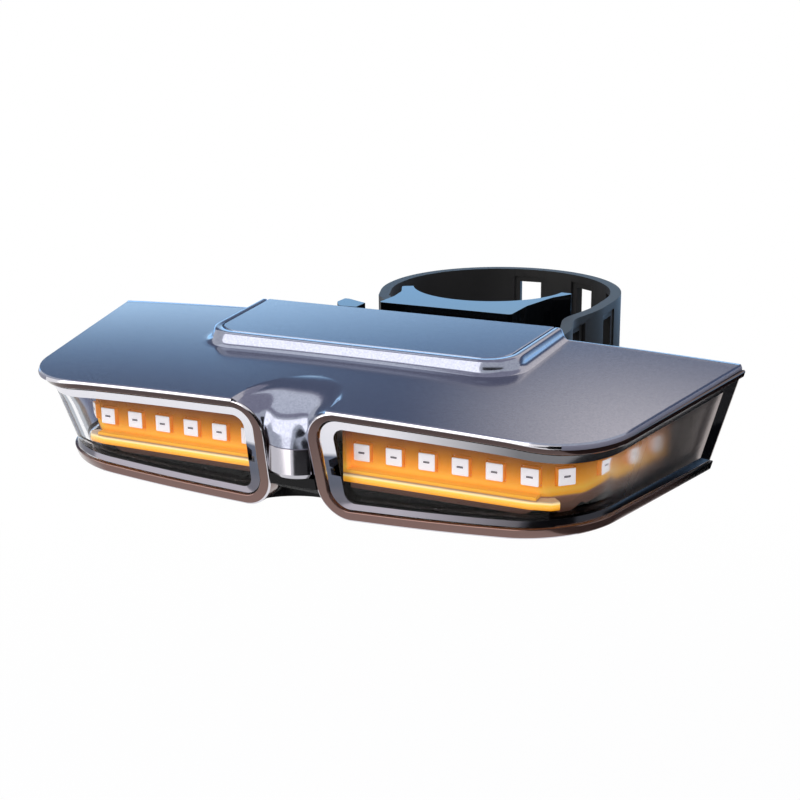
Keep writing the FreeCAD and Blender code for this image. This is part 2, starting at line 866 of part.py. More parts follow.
def battery_cell():
    low = board_top + foam_thickness
    half = battery_length / 2
    cell = block(-half, half, battery_y - battery_width / 2, battery_y + battery_width / 2, low,
                 low + battery_height)
    long_edges = [e for e in cell.Edges if abs(e.tangentAt(e.FirstParameter).x) > 0.9]
    return cell.makeFillet(battery_height * 0.3, long_edges)


def lead_connector():
    half = connector_width / 2
    y = battery_y - connector_offset
    return block(connector_x - half, connector_x + half, y - connector_depth / 2,
                 y + connector_depth / 2, board_top, board_top + connector_height)


def battery_leads():
    """Two leads from the cell's end down into the connector."""
    level = board_top + foam_thickness + battery_height / 2
    end = Vec(lead_x, 0, board_top + connector_height)
    leads = []
    for side in (-0.5, 0.5):
        y = battery_y - connector_offset + side * lead_spacing
        points = [(battery_length / 2, y, level), (end.x, y, level), (end.x, y, end.z)]
        reach = min(2.4 * lead_radius, 0.8 * (level - end.z))
        path = rounded_wire(points, [0, reach, 0], closed=False)
        circle = Part.Circle(Vec(battery_length / 2, y, level), X_AXIS, lead_radius)
        ring = Part.Wire(circle.toShape())
        leads.append(path.makePipeShell([ring], True, True))
    return Part.makeCompound(leads)


def led_ribbons():
    """Flat cables from the main board up to the two lamp boards."""
    back = led_board_y + led_board_thickness / 2 + 0.05
    path = [(-board_front + 0.8, board_top + 0.25), (-board_front - 2.5, board_top + 0.25),
            (back + 0.2, board_top + 2.6), (back + 0.2, board_top + 4.6)]
    strip = band(path, [0, 1.2, 1.2, 0], 0.0, ribbon_thickness, 0, ribbon_width)
    strip.rotate(Vec(0, 0, 0), Vec(1, 1, 1), 120)
    strip.translate(Vec(ribbon_x, 0, 0))
    return Part.makeCompound([strip, mirrored(strip)])


def tact_switch():
    half = switch_size / 2
    body = block(button_x - half, button_x + half, button_y - half, button_y + half,
                 board_level - switch_height, board_level)
    well = rod(plunger_radius + 0.1, (button_x, button_y, board_level - switch_height - 1),
               Z_AXIS, 2.0)
    return body.cut(well)


def button_flange_z():
    reach = button_radius + button_flange
    ends = [floor_z(button_x + reach, button_y + side * reach) for side in (-1, 1)]
    return max(ends) + floor_thickness + button_flange_gap


def button_top_z():
    return button_flange_z() + button_flange_height


def switch_plunger():
    low = button_top_z() + 0.02
    high = board_level - switch_height + 0.25
    return rod(plunger_radius, (button_x, button_y, low), Z_AXIS, high - low)


def power_button():
    face = floor_z(button_x, button_y) - button_proud
    top = button_top_z()
    cap = rod(button_radius, (button_x, button_y, face), Z_AXIS, top - face)
    edge = [e for e in cap.Edges if abs(e.CenterOfMass.z - face) < 0.01]
    cap = cap.makeFillet(0.5, edge)
    flange = rod(button_radius + button_flange, (button_x, button_y, button_flange_z()), Z_AXIS,
                 button_flange_height)
    return joined([cap, flange])


def screw(place, axis, length, head_height):
    """Pan-head screw; place is the underside of the head, axis points along the shank."""
    start = Vec(place)
    shank = rod(screw_radius, start - axis * 0.2, axis, length + 0.2)
    head = rod(screw_head_radius, start - axis * head_height, axis, head_height)
    tip = start - axis * (head_height - 0.5)
    slot = rod(0.75, tip - axis * 0.6, axis, 0.7)
    return joined([shank, head]).cut(slot)


def housing_screws():
    shapes = []
    for x, y in cover_screw_places():
        seat = floor_z(x, y) - 1 + screw_head_height + 1.2
        length = split_level + 4.5 - seat
        shapes.append(screw((x, y, seat), Z_AXIS, length, screw_head_height))
    return Part.makeCompound(shapes)


def board_screws():
    shapes = []
    for x in (-board_screw_x, board_screw_x):
        for y in (board_screw_front, board_screw_back):
            shapes.append(screw((x, y, board_top), -Z_AXIS, 2.2, 0.9))
    return Part.makeCompound(shapes)


def housing_seal():
    """Flat seal between the cover and the housing's upper edge."""
    outer = housing_inset() + 0.6
    ring = cover_outline(outer, 0.4, -far / 4, far / 4)
    ring = ring.cut(cover_outline(outer + 0.8, 1.3, -far / 4, far / 4))
    slab = crowned_body(plate_thickness + 0.05).cut(crowned_body(plate_thickness + 0.85))
    gap = crease_half_width + 0.2
    return ring.common(slab).cut(block(-gap, gap, -far, -ramp_back, -far, far))


def socket_screw_levels():
    return (rail_top - 2.2, rail_bottom + 2.2)


def rail_socket():
    """Channel on the light's back that slides down over the rail."""
    half = rail_head_width / 2 + slide_clearance + socket_wall
    depth = socket_floor + detent_space + rail_head_depth + slide_clearance + lip_depth
    top = rail_top + slide_clearance + socket_roof
    body = block(-half, half, 0, depth, rail_bottom, top)
    edges = [e for e in body.Edges if abs(e.tangentAt(e.FirstParameter).z) > 0.9
             and e.CenterOfMass.y > depth / 2]
    body = body.makeFillet(1.6, edges)
    head = rail_head_width / 2 + slide_clearance
    channel = block(-head, head, socket_floor, depth - lip_depth, -far, rail_top + slide_clearance)
    neck = rail_neck_width / 2 + slide_clearance
    slit = block(-neck, neck, socket_floor, depth + 1, -far, rail_top + slide_clearance)
    body = body.cut(joined([channel, slit]))
    for z in socket_screw_levels():
        hole = rod(screw_radius + shank_clearance, (0, -1, z), Y_AXIS, far)
        sink = rod(screw_head_radius + 0.15, (0, socket_floor - 1.2, z), Y_AXIS, far)
        body = body.cut(joined([hole.common(channel_floor()), sink.common(channel_floor())]))
    return body


def channel_floor():
    return block(-far, far, -2, socket_floor + 0.01, -far, far)


def socket_screws():
    shapes = []
    for z in socket_screw_levels():
        shapes.append(screw((0, socket_floor - 1.2, z), -Y_AXIS, socket_screw_length, 1.0))
    return Part.makeCompound(shapes)


def detent_middle():
    return (rail_top + rail_bottom) / 2


def detent_spring():
    """Bowed leaf that clicks into the rail's groove."""
    mid = detent_middle()
    base = socket_floor + 0.02
    crest = socket_floor + detent_space + 0.55
    thick = 0.3
    half_span = 2.7
    outline = [(base, mid - half_span - 0.8), (base, mid - half_span),
               (crest - thick, mid - 0.55), (crest - thick, mid + 0.55),
               (base, mid + half_span), (base, mid + half_span + 0.8),
               (base + thick, mid + half_span + 0.8), (base + thick, mid + half_span + 0.1),
               (crest, mid + 0.7), (crest, mid - 0.7),
               (base + thick, mid - half_span - 0.1), (base + thick, mid - half_span - 0.8)]
    wire = rounded_wire([(-2.5, y, z) for y, z in outline], [0] * len(outline))
    return Part.Face(wire).extrude(Vec(5.0, 0, 0))


def rail_bracket():
    """Plate on the saddle's front, with the rail that the light slides on and a hook each side."""
    front = saddle_front_y - bracket_base
    low = light_top_z + rail_bottom
    high = light_top_z + rail_top
    plate = block(-bracket_half_width, bracket_half_width, front, saddle_front_y, low,
                  low + bracket_height)
    neck = block(-rail_neck_width / 2, rail_neck_width / 2, rail_head_back - 0.1, front + 0.1, low,
                 high)
    head = block(-rail_head_width / 2, rail_head_width / 2, rail_head_front, rail_head_back, low,
                 high)
    ends = [e for e in head.Edges if abs(e.tangentAt(e.FirstParameter).z) > 0.9]
    head = head.makeChamfer(0.4, ends)
    groove_z = light_top_z + detent_middle()
    groove = block(-far, far, rail_head_front - 1, rail_head_front + 0.8, groove_z - 1.6,
                   groove_z + 1.6)
    shape = joined([plate, neck, head, spare_hook(low), strap_hook()]).cut(groove)
    hole = rod(1.5 + thread_clearance, (0, far, bracket_screw_z()), -Y_AXIS,
               far - rail_head_front - 1.8)
    return shape.cut(hole)


def spare_hook(low):
    """Curved ear on the left."""
    front = saddle_front_y - bracket_base
    tip = -hook_reach
    root = -bracket_half_width
    ear = [(root + 0.4, front - 0.6), (root - 2.6, front - 0.8), (tip, front + 1.7),
           (tip, front + 4.4), (tip + 0.8, front + 4.4), (root + 0.4, front + hook_thickness)]
    return plan_prism(ear, [0, 1.0, 1.2, 0.3, 0.3, 0], low, saddle_height / 2)


def strap_hook():
    """Tongue on the right that goes through the strap's first window, with a lip outside."""
    root = bracket_half_width - 0.4
    outside = strap_path()[0][0] + strap_thickness / 2 + hook_clearance
    tip = outside + hook_tip
    near = hook_y - hook_thickness / 2
    away = hook_y + hook_thickness / 2
    tongue = [(root, near), (outside, near), (outside, near - 0.9), (tip, near - 0.5),
              (tip, away - 0.6), (outside, away), (root, away)]
    middle = strap_top() - strap_height / 2
    half = window_height / 2 - hook_clearance
    return plan_prism(tongue, [0, 0.2, 0.3, 0.6, 0.6, 0.5, 0], middle - half, middle + half)


def bracket_screw_z():
    return light_top_z + detent_middle()


def bracket_screw():
    seat = -(post_radius + pad_thickness) - 2.3
    axis = -Y_AXIS
    start = Vec(0, seat, bracket_screw_z())
    length = -(rail_head_front + 2.2) + seat
    shank = rod(1.5, start - axis * 0.2, axis, length + 0.2)
    head = rod(2.75, start - axis * 2.0, axis, 2.0)
    hexagon = [Vec(1.45 * math.cos(turn(60 * i)), 0, 1.45 * math.sin(turn(60 * i)))
               for i in range(6)]
    socket = Part.Face(Part.makePolygon([start + Vec(0, 2.1, 0) + p for p in hexagon + hexagon[:1]]))
    return joined([shank, head]).cut(socket.extrude(Vec(0, -1.4, 0)))


def arm_points():
    """Plan outline of the saddle block round the front of the post."""
    outer = post_radius + rim_clearance + arm_thickness
    left = turn(-90 - left_arm_angle)
    right = turn(-90 + right_arm_angle)
    inner = post_radius * 0.8
    return [
        (-saddle_half_width, saddle_front_y), (saddle_half_width, saddle_front_y),
        (saddle_half_width + 0.1, saddle_front_y + 6.6),
        (saddle_half_width + 1.6, -post_radius * 0.45),
        (outer * math.cos(right) + 0.3, outer * math.sin(right)),
        (inner * math.cos(right), inner * math.sin(right)),
        (0, -inner * 0.4),
        (inner * math.cos(left), inner * math.sin(left)),
        (outer * math.cos(left), outer * math.sin(left)),
        (-saddle_half_width - 0.2, -post_radius * 0.85),
        (-saddle_half_width + 0.3, saddle_front_y + 5.0),
    ]


def saddle_block():
    half = saddle_height / 2
    radii = [0.6, 0.6, 3.0, 6.0, 0.5, 0, 0, 0, 0.5, 3.0, 2.0]
    body = plan_prism(arm_points(), radii, -half, half)
    body = body.cut(rod(post_radius + rim_clearance, (0, 0, -half - 1), Z_AXIS, saddle_height + 2))
    seat = pad_wedge(post_radius - 1, post_radius + pad_thickness, pad_height + 0.2,
                     pad_half_angle + 0.8)
    bead = rod(bead_radius + bead_clearance, (bead_place()[0], bead_place()[1], -half - 1), Z_AXIS,
               half + 1 + strap_top() + 0.15)
    slot = band(strap_path()[-2:], [0, 0], -strap_thickness / 2 - 0.15, strap_thickness / 2 + 0.15,
                -half - 1, strap_top() + 0.15)
    z = bracket_screw_z()
    hole = rod(1.6, (0, 0, z), -Y_AXIS, far)
    sink = rod(2.9, (0, 0, z), -Y_AXIS, post_radius + pad_thickness + 2.3)
    return body.cut(joined([seat, hole, sink])).cut(bead).cut(slot)


def pad_wedge(inner, outer, height, half_angle):
    ring = rod(outer, (0, 0, -height / 2), Z_AXIS, height)
    ring = ring.cut(rod(inner, (0, 0, -height / 2 - 1), Z_AXIS, height + 2))
    reach = 3 * outer
    points = [(0, 0)]
    for angle in (-90 - half_angle, -90, -90 + half_angle):
        points.append((reach * math.cos(turn(angle)), reach * math.sin(turn(angle))))
    wedge = plan_prism(points, [0] * 4, -height, height)
    return ring.common(wedge)


def saddle_pad():
    pad = pad_wedge(post_radius, post_radius + pad_thickness - 0.03, pad_height, pad_half_angle)
    return pad


def strap_top():
    return saddle_height / 2 - strap_drop


def bead_place():
    return (-saddle_half_width + 1.0, saddle_front_y + 5.4)


def strap_path():
    """Plan centre line of the strap, from its free tail round to the bead in the saddle."""
    right = strap_ring_radius + 0.2
    left = -strap_ring_radius + 0.2
    far_y = strap_ring_y + strap_ring_radius
    return [(right + 0.3, strap_tail_y), (right + 0.3, -18.8), (right - 1.7, -12.0), (right, -3.5),
            (right, far_y), (left, far_y), (left, -0.3), (left + 2.8, -7.6), bead_place()]


def strap_radii():
    ring = strap_ring_radius
    return [0, 12.0, 8.0, 20.0, ring - 0.01, ring - 0.01, ring - 0.2, 3.0, 0]


def strap():
    half = strap_thickness / 2
    low = strap_top() - strap_height
    body = band(strap_path(), strap_radii(), -half, half, low, strap_top())
    bead = rod(bead_radius, (bead_place()[0], bead_place()[1], low), Z_AXIS, strap_height)
    middle = strap_top() - strap_height / 2
    reach = 2 * strap_thickness
    wide = window_width / 2
    tall = window_height / 2
    cuts = []
    for point, along in window_places():
        cells = [block(-wide, wide, -reach, reach, middle - tall, middle + tall)]
        for side in (half - frame_relief, -half + frame_relief - reach):
            cells.append(block(-wide - frame_margin, wide + frame_margin, side, side + reach,
                               middle - tall - frame_margin, middle + tall + frame_margin))
        for cell in cells:
            cell.rotate(Vec(0, 0, 0), Z_AXIS, math.degrees(math.atan2(along.y, along.x)))
            cell.translate(point)
            cuts.append(cell)
    return joined([body, bead]).cut(joined(cuts))


def window_places():
    """Middle of each strap window with the strap's direction there, from the hook onwards."""
    line = [Vec(x, y, 0) for x, y in strap_path()]
    edges = rounded_wire(line, strap_radii(), closed=False).OrderedEdges
    first = hook_y - hook_thickness / 2 - hook_clearance + window_width / 2 - strap_tail_y
    places = []
    for i in range(window_count):
        rest = first + i * window_pitch
        for edge in edges:
            if rest <= edge.Length:
                at = edge.getParameterByLength(rest)
                places.append((edge.valueAt(at), edge.tangentAt(at)))
                break
            rest -= edge.Length
    return places


def in_place(shape):
    moved = shape.copy()
    moved.translate(Vec(0, light_back_y, light_top_z))
    return moved


def pair(name, shape):
    """Right-hand piece and its mirror image."""
    return {name + "_right": shape, name + "_left": mirrored(shape)}


def light_pieces():
    pieces = {
        "top_housing": top_housing(),
        "top_inlay_plate": top_inlay_plate(),
        "nose_trim": nose_trim(),
        "bottom_housing": bottom_housing(),
        "housing_seal": housing_seal(),
        "main_board": main_board(),
        "board_components": board_components(),
        "battery_pad": battery_pad(),
        "battery_cell": battery_cell(),
        "lead_connector": lead_connector(),
        "battery_leads": battery_leads(),
        "led_ribbons": led_ribbons(),
        "usb_socket": usb_socket(),
        "usb_cover": usb_cover(),
        "tact_switch": tact_switch(),
        "switch_plunger": switch_plunger(),
        "power_button": power_button(),
        "housing_screws": housing_screws(),
        "board_screws": board_screws(),
        "rail_socket": rail_socket(),
        "socket_screws": socket_screws(),
        "detent_spring": detent_spring(),
    }
    pieces.update(pair("bezel", bezel_right()))
    pieces.update(pair("lens", lens_right()))
    pieces.update(pair("lens_gasket", lens_gasket_right()))
    pieces.update(pair("reflector", reflector_right()))
    pieces.update(pair("light_guide", light_guide_right()))
    pieces.update(pair("led_board", led_board_right()))
    pieces.update(pair("leds", leds_right()))
    return pieces


def bracket_pieces():
    return {
        "saddle_block": saddle_block(),
        "saddle_pad": saddle_pad(),
        "strap": strap(),
        "rail_bracket": rail_bracket(),
        "bracket_screw": bracket_screw(),
    }


def main():
    os.makedirs("parts", exist_ok=True)
    pieces = {name: in_place(shape) for name, shape in light_pieces().items()}
    pieces.update(bracket_pieces())
    for name, shape in pieces.items():
        shape.exportStep("parts/" + name + ".step")
        print(name, len(shape.Solids), "solids", round(shape.Volume, 1), "mm3", shape.isValid())


main()
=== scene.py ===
import math

import bpy
import bmesh
import numpy as np
from mathutils import Matrix, Vector


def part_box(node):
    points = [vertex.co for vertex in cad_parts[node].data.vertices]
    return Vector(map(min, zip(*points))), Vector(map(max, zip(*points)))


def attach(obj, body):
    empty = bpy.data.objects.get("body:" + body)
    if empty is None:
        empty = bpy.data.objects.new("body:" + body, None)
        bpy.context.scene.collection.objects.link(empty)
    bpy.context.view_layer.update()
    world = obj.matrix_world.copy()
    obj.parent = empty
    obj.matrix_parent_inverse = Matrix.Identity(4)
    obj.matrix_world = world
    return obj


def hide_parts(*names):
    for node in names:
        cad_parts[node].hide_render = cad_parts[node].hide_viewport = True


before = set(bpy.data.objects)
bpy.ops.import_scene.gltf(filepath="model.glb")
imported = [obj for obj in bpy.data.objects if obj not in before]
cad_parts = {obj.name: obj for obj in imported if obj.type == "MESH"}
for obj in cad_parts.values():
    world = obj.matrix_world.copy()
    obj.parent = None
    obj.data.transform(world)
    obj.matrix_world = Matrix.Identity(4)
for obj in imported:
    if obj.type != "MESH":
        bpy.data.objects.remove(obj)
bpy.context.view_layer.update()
print("stage: frame loaded", len(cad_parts), "nodes")

mm = 0.001
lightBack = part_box("bottom_housing")[1].y / mm  # the light's own frame starts at its back face
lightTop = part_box("saddle_block")[1].z / mm - 0.7  # and at the height of the cover's back edge

body = dict(  # plan and section of the light, in its own frame
    backHalf=50.0, frontHalf=41.5, depth=37.4, cornerRadius=11.0,
    crown=1.7, crownRadius=1000.0, crownSlope=0.0735,
    frontEdge=0.45, sideEdge=0.78, edgeFrom=30.0, edgeRun=10.0, plate=1.6, seat=3.7,
    upperLevel=-2.0, upperFront=36.65, lowerLevel=-15.5, lowerFront=33.45,
    lowerBackHalf=46.2, lowerFrontHalf=38.5, lowerRadius=11.4,
    floorLevel=-17.15, floorRadius=322.0, floorSlope=-0.036,
)


# small helpers

def srgb(code):
    parts = [int(code[i:i + 2], 16) / 255 for i in (1, 3, 5)]
    linear = [c / 12.92 if c <= 0.04045 else ((c + 0.055) / 1.055) ** 2.4 for c in parts]
    return (*linear, 1.0)


def addNode(tree, kind, inputs=None, **settings):
    # an input takes another node's output, or else a plain value
    node = tree.nodes.new(kind)
    for key, value in settings.items():
        setattr(node, key, value)
    for key, value in (inputs or {}).items():
        if isinstance(value, bpy.types.NodeSocket):
            tree.links.new(value, node.inputs[key])
        else:
            node.inputs[key].default_value = value
    return node


def output(tree, kind, inputs=None, **settings):
    # the first output of a new node
    return addNode(tree, kind, inputs, **settings).outputs[0]


def feed(node, **sources):
    # joins other nodes' outputs to a node's inputs
    for key, source in sources.items():
        node.id_data.links.new(source, node.inputs[key.replace("_", " ")])


def newMaterial(name, color, **sockets):
    material = bpy.data.materials.new(name)
    material.use_nodes = True
    shader = material.node_tree.nodes["Principled BSDF"]
    shader.inputs["Base Color"].default_value = srgb(color)
    for key, value in sockets.items():
        shader.inputs[key.replace("_", " ")].default_value = value
    return material, material.node_tree, shader


def newObject(name, data):
    piece = bpy.data.objects.new(name, data)
    bpy.context.scene.collection.objects.link(piece)
    return piece


def makeMesh(name, points, faces, smoothAngle=35, slots=None):
    # points are millimetres in the light's own frame
    co = (np.asarray(points, float) + np.array([0, lightBack, lightTop])) * mm
    mesh = bpy.data.meshes.new(name)
    mesh.from_pydata(co.tolist(), [], faces)
    if slots:
        mesh.polygons.foreach_set("material_index", slots)
    tidyMesh(mesh, smoothAngle)
    return newObject(name, mesh)


def tidyMesh(mesh, smoothAngle, outward=True):
    work = bmesh.new()
    work.from_mesh(mesh)
    bmesh.ops.remove_doubles(work, verts=work.verts, dist=0.002 * mm)
    bmesh.ops.dissolve_degenerate(work, edges=work.edges, dist=0.0005 * mm)
    if outward:
        bmesh.ops.recalc_face_normals(work, faces=work.faces)
    work.to_mesh(mesh)
    work.free()
    mesh.polygons.foreach_set("use_smooth", [True] * len(mesh.polygons))
    mesh.set_sharp_from_angle(angle=math.radians(smoothAngle))
    mesh.update()


def gridFaces(rows, columns, start=0, wrapRows=False, wrapColumns=False):
    faces = []
    for i in range(rows if wrapRows else rows - 1):
        for j in range(columns if wrapColumns else columns - 1):
            a, b = start + i * columns, start + (i + 1) % rows * columns
            after = (j + 1) % columns
            faces.append((a + j, a + after, b + after, b + j))
    return faces


def mirrorPiece(piece, name):
    copy = newObject(name, piece.data.copy())
    copy.data.name = name
    copy.data.transform(Matrix.Diagonal((-1, 1, 1, 1)))
    copy.data.flip_normals()
    return copy


def joinHalves(name, right, smoothAngle, closed=False):
    # a right half and its mirror image, welded along the middle
    work = bmesh.new()
    for half in (right, mirrorPiece(right, name + "Left")):
        work.from_mesh(half.data)
        bpy.data.objects.remove(half)
    bmesh.ops.remove_doubles(work, verts=work.verts, dist=0.003 * mm)
    if closed:
        bmesh.ops.holes_fill(work, edges=[e for e in work.edges if e.is_boundary], sides=400)
    mesh = bpy.data.meshes.new(name)
    work.to_mesh(mesh)
    work.free()
    tidyMesh(mesh, smoothAngle, outward=closed)
    return newObject(name, mesh)


def bake(piece):
    # turns a piece with modifiers into a plain mesh, still without materials
    graph = bpy.context.evaluated_depsgraph_get()
    mesh = bpy.data.meshes.new_from_object(piece.evaluated_get(graph))
    mesh.materials.clear()
    piece.modifiers.clear()
    piece.data = mesh
    return piece


def dress(piece, bodyName, keys, replaced=()):
    for key in keys:
        piece.data.materials.append(finish[key])
    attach(piece, bodyName)
    if replaced:
        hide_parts(*replaced)


def dressPair(right, stem, keys):
    # a right-hand piece of the light and its mirrored twin
    left = mirrorPiece(right, right.name.replace("Right", "Left"))
    for piece, side in ((right, "_right"), (left, "_left")):
        dress(piece, "light", keys, (stem + side,))


def crownZ(x, y):
    return body["crown"] + body["crownSlope"] * y - x * x / (2 * body["crownRadius"])


def coverEdge(x):
    # height of the cover's edge: it grows from the front round to the sides
    share = np.clip((np.abs(x) - body["edgeFrom"]) / body["edgeRun"], 0, 1)
    share = share * share * (3 - 2 * share)
    return body["frontEdge"] + (body["sideEdge"] - body["frontEdge"]) * share


def floorZ(x, y):
    rise = body["floorSlope"] * (y + body["lowerFront"])
    return body["floorLevel"] + rise + x * x / (2 * body["floorRadius"])


def movedIn(inset, back, front, depth, radius):
    # back half, front half, depth and corner radius of a plan whose sides and front move in
    slope = (back - front) / depth
    back = back - inset * np.hypot(1, slope)
    depth = depth - inset
    return back, back - slope * depth, depth, np.maximum(radius - inset, 0.6)


def sideOutline(z, inset):
    # the wall's plan at a height
    b = body
    share = (z - b["upperLevel"]) / (b["lowerLevel"] - b["upperLevel"])
    return movedIn(inset, *(b[upper] + share * (b[lower] - b[upper]) for upper, lower in (
        ("backHalf", "lowerBackHalf"), ("frontHalf", "lowerFrontHalf"),
        ("upperFront", "lowerFront"), ("cornerRadius", "lowerRadius"))))


runs = dict(  # distances along the wall from the middle: front, corner, side
    nose=6.0, noseEnd=12.0, front=32.5, corner=45.4, end=73.6, lean=14.0,
)


def wallPoint(run, z, inset):
    # a point of the lens wall, by distance along it from the middle, height and inset
    run, z, inset = np.broadcast_arrays(np.asarray(run, float), z, inset)
    back, front, depth, radius = sideOutline(z, inset)
    length = np.hypot(back - front, depth)
    sideX, sideY = (back - front) / length, depth / length
    half = np.arccos(-sideX) / 2
    reach = radius / np.tan(half)
    tangentX = front - reach
    frontX = run + (tangentX - runs["front"]) * np.clip(run / runs["front"], 0, 1) ** 2
    share = np.clip((run - runs["front"]) / (runs["corner"] - runs["front"]), 0, 1)
    turn = -np.pi / 2 + share * (np.arctan2(-sideX, sideY) + np.pi / 2)
    arcX = tangentX + radius * np.cos(turn)
    arcY = -depth + radius + radius * np.sin(turn)
    share = np.clip((run - runs["corner"]) / (runs["end"] - runs["corner"]), 0, 1)
    startX, startY = front + sideX * reach, -depth + sideY * reach
    endX, endY = startX + (back - startX) * share, startY * (1 - share)
    x = np.where(run <= runs["front"], frontX, np.where(run <= runs["corner"], arcX, endX))
    y = np.where(run <= runs["front"], -depth, np.where(run <= runs["corner"], arcY, endY))
    return np.stack([x, y, z + 0 * x], -1)


def rimTop(run):
    spot = wallPoint(run, -2.0, 0.0)
    return crownZ(spot[..., 0], spot[..., 1]) - coverEdge(spot[..., 0]) - 0.03


def rimBottom(run):
    spot = wallPoint(run, -16.0, 0.0)
    return floorZ(spot[..., 0], spot[..., 1])


def rimCurve(top, bottom, noseUpper, noseLower, radiusUpper, radiusLower, back=None):
    # open outline of a lens opening on the unrolled wall, from the back end round the nose
    along = np.concatenate([
        np.linspace(back or runs["end"], runs["corner"], 14)[:-1],
        np.linspace(runs["corner"], runs["front"], 18)[:-1],
        np.linspace(runs["front"], runs["noseEnd"], 10),
    ])
    zTop = float(rimTop(runs["nose"])) - top
    zBottom = float(rimBottom(runs["nose"])) + bottom
    ease = np.clip((along - runs["nose"]) / (runs["noseEnd"] - runs["nose"]), 0, 1)
    upper = np.stack([along, (rimTop(along) - top) * ease + zTop * (1 - ease)], -1)
    lower = np.stack([along, (rimBottom(along) + bottom) * ease + zBottom * (1 - ease)], -1)
    turn = np.linspace(0, np.pi / 2, 18)
    cornerUpper = np.stack([
        noseUpper + radiusUpper * (1 - np.sin(turn)), zTop - radiusUpper * (1 - np.cos(turn))], -1)
    cornerLower = np.stack([
        noseUpper + radiusLower * (1 - np.cos(turn)), zBottom + radiusLower * (1 - np.sin(turn))], -1)
    middle = np.linspace(cornerUpper[-1], cornerLower[0], 8)[1:-1]
    curve = np.concatenate([upper, cornerUpper, middle, cornerLower, lower[::-1]])
    lean = np.clip((zTop - curve[:, 1]) / (zTop - zBottom), 0, 1) * (noseLower - noseUpper)
    near = np.clip(1 - (curve[:, 0] - noseUpper) / runs["lean"], 0, 1)
    curve[:, 0] += lean * near
    return curve


bezelSize = dict(  # the frame round a lens
    noseUpper=3.0, noseLower=3.65, radiusUpper=4.8, radiusLower=4.6,
    top=1.0, bottom=1.45, side=1.6, depth=2.4, lip=1.3, chamfer=0.24, chamferDepth=0.2,
    innerEdge=0.12, brightEnd=40.0,
)
outerRim = rimCurve(0.0, 0.0, bezelSize["noseUpper"], bezelSize["noseLower"],
                    bezelSize["radiusUpper"], bezelSize["radiusLower"])


def innerRim(inset, back=None):
    # the lens opening, or an outline that lies inside it
    b = bezelSize
    radiusUpper = max(b["radiusUpper"] - b["side"] - inset, 0.8)
    radiusLower = max(b["radiusLower"] - b["side"] - inset, 0.8)
    return rimCurve(b["top"] + inset, b["bottom"] + inset * 0.62,
                    b["noseUpper"] + b["side"] + inset * 1.3,
                    b["noseLower"] + b["side"] + inset * 1.3, radiusUpper, radiusLower, back)


def sweepWall(name, stations, smoothAngle, slotOf):
    # stations are (outline on the wall, inset) pairs that go round the section
    rows = [wallPoint(curve[:, 0], curve[:, 1], inset) for curve, inset in stations]
    count = len(rows[0])
    faces = gridFaces(len(rows), count, wrapRows=True)
    ends = range(0, len(rows) * count, count)
    faces += [list(ends), [k + count - 1 for k in reversed(ends)]]
    slots = [slotOf(k // (count - 1), k % (count - 1)) for k in range(len(faces) - 2)]
    return makeMesh(name, np.concatenate(rows), faces, smoothAngle, slots + [0, 0])


def between(first, second, distance):
    # outline that lies a distance in from the first towards the second
    gap = np.linalg.norm(second - first, axis=1, keepdims=True)
    return first + (second - first) * np.minimum(distance / np.maximum(gap, 1e-6), 1.0)


# materials

def calc(tree, operation, *terms):
    return output(tree, "ShaderNodeMath", dict(enumerate(terms)), operation=operation)


def ranged(tree, value, low, high, first=0.0, last=1.0, **settings):
    # runs from first to last while the value runs from low to high
    return addNode(tree, "ShaderNodeMapRange", {
        "Value": value, "From Min": low, "From Max": high, "To Min": first, "To Max": last},
        **settings).outputs["Result"]


def mixed(tree, share, first, second, kind="MIX"):
    return addNode(tree, "ShaderNodeMix", {0: share, 6: first, 7: second}, data_type="RGBA",
                   blend_type=kind).outputs[2]


def mixShaders(tree, share, first, second):
    return output(tree, "ShaderNodeMixShader", {0: share, 1: first, 2: second})


def objectPlace(tree):
    return addNode(tree, "ShaderNodeTexCoord").outputs["Object"]


def axes(tree):
    return addNode(tree, "ShaderNodeSeparateXYZ", {"Vector": objectPlace(tree)}).outputs


def axisShare(tree, axis, low, high, first=0.0, last=1.0, **settings):
    # runs from first to last along an axis of the object, between two places in millimetres
    return ranged(tree, axes(tree)[axis], low * mm, high * mm, first, last, **settings)


def rampNode(tree, factor, stops):
    ramp = addNode(tree, "ShaderNodeValToRGB", {"Fac": factor})
    while len(ramp.color_ramp.elements) < len(stops):
        ramp.color_ramp.elements.new(0.5)
    for element, (place, code) in zip(ramp.color_ramp.elements, stops):
        element.position = place
        element.color = srgb(code)
    return ramp.outputs["Color"]


def noise(tree, size, detail, where=None):
    return addNode(tree, "ShaderNodeTexNoise", {
        "Scale": 1 / (size * mm), "Detail": detail,
        "Vector": where or objectPlace(tree)}).outputs["Fac"]


def grainBump(tree, shader, size, strength, distance=0.02):
    grain = noise(tree, size, 2.0)
    feed(shader, Normal=output(tree, "ShaderNodeBump", {
        "Strength": strength, "Distance": distance * mm, "Height": grain}))
    return grain


def brighter(color, factor, more=0.0):
    return [min(c * factor + more, 1) for c in srgb(color)[:3]] + [1]


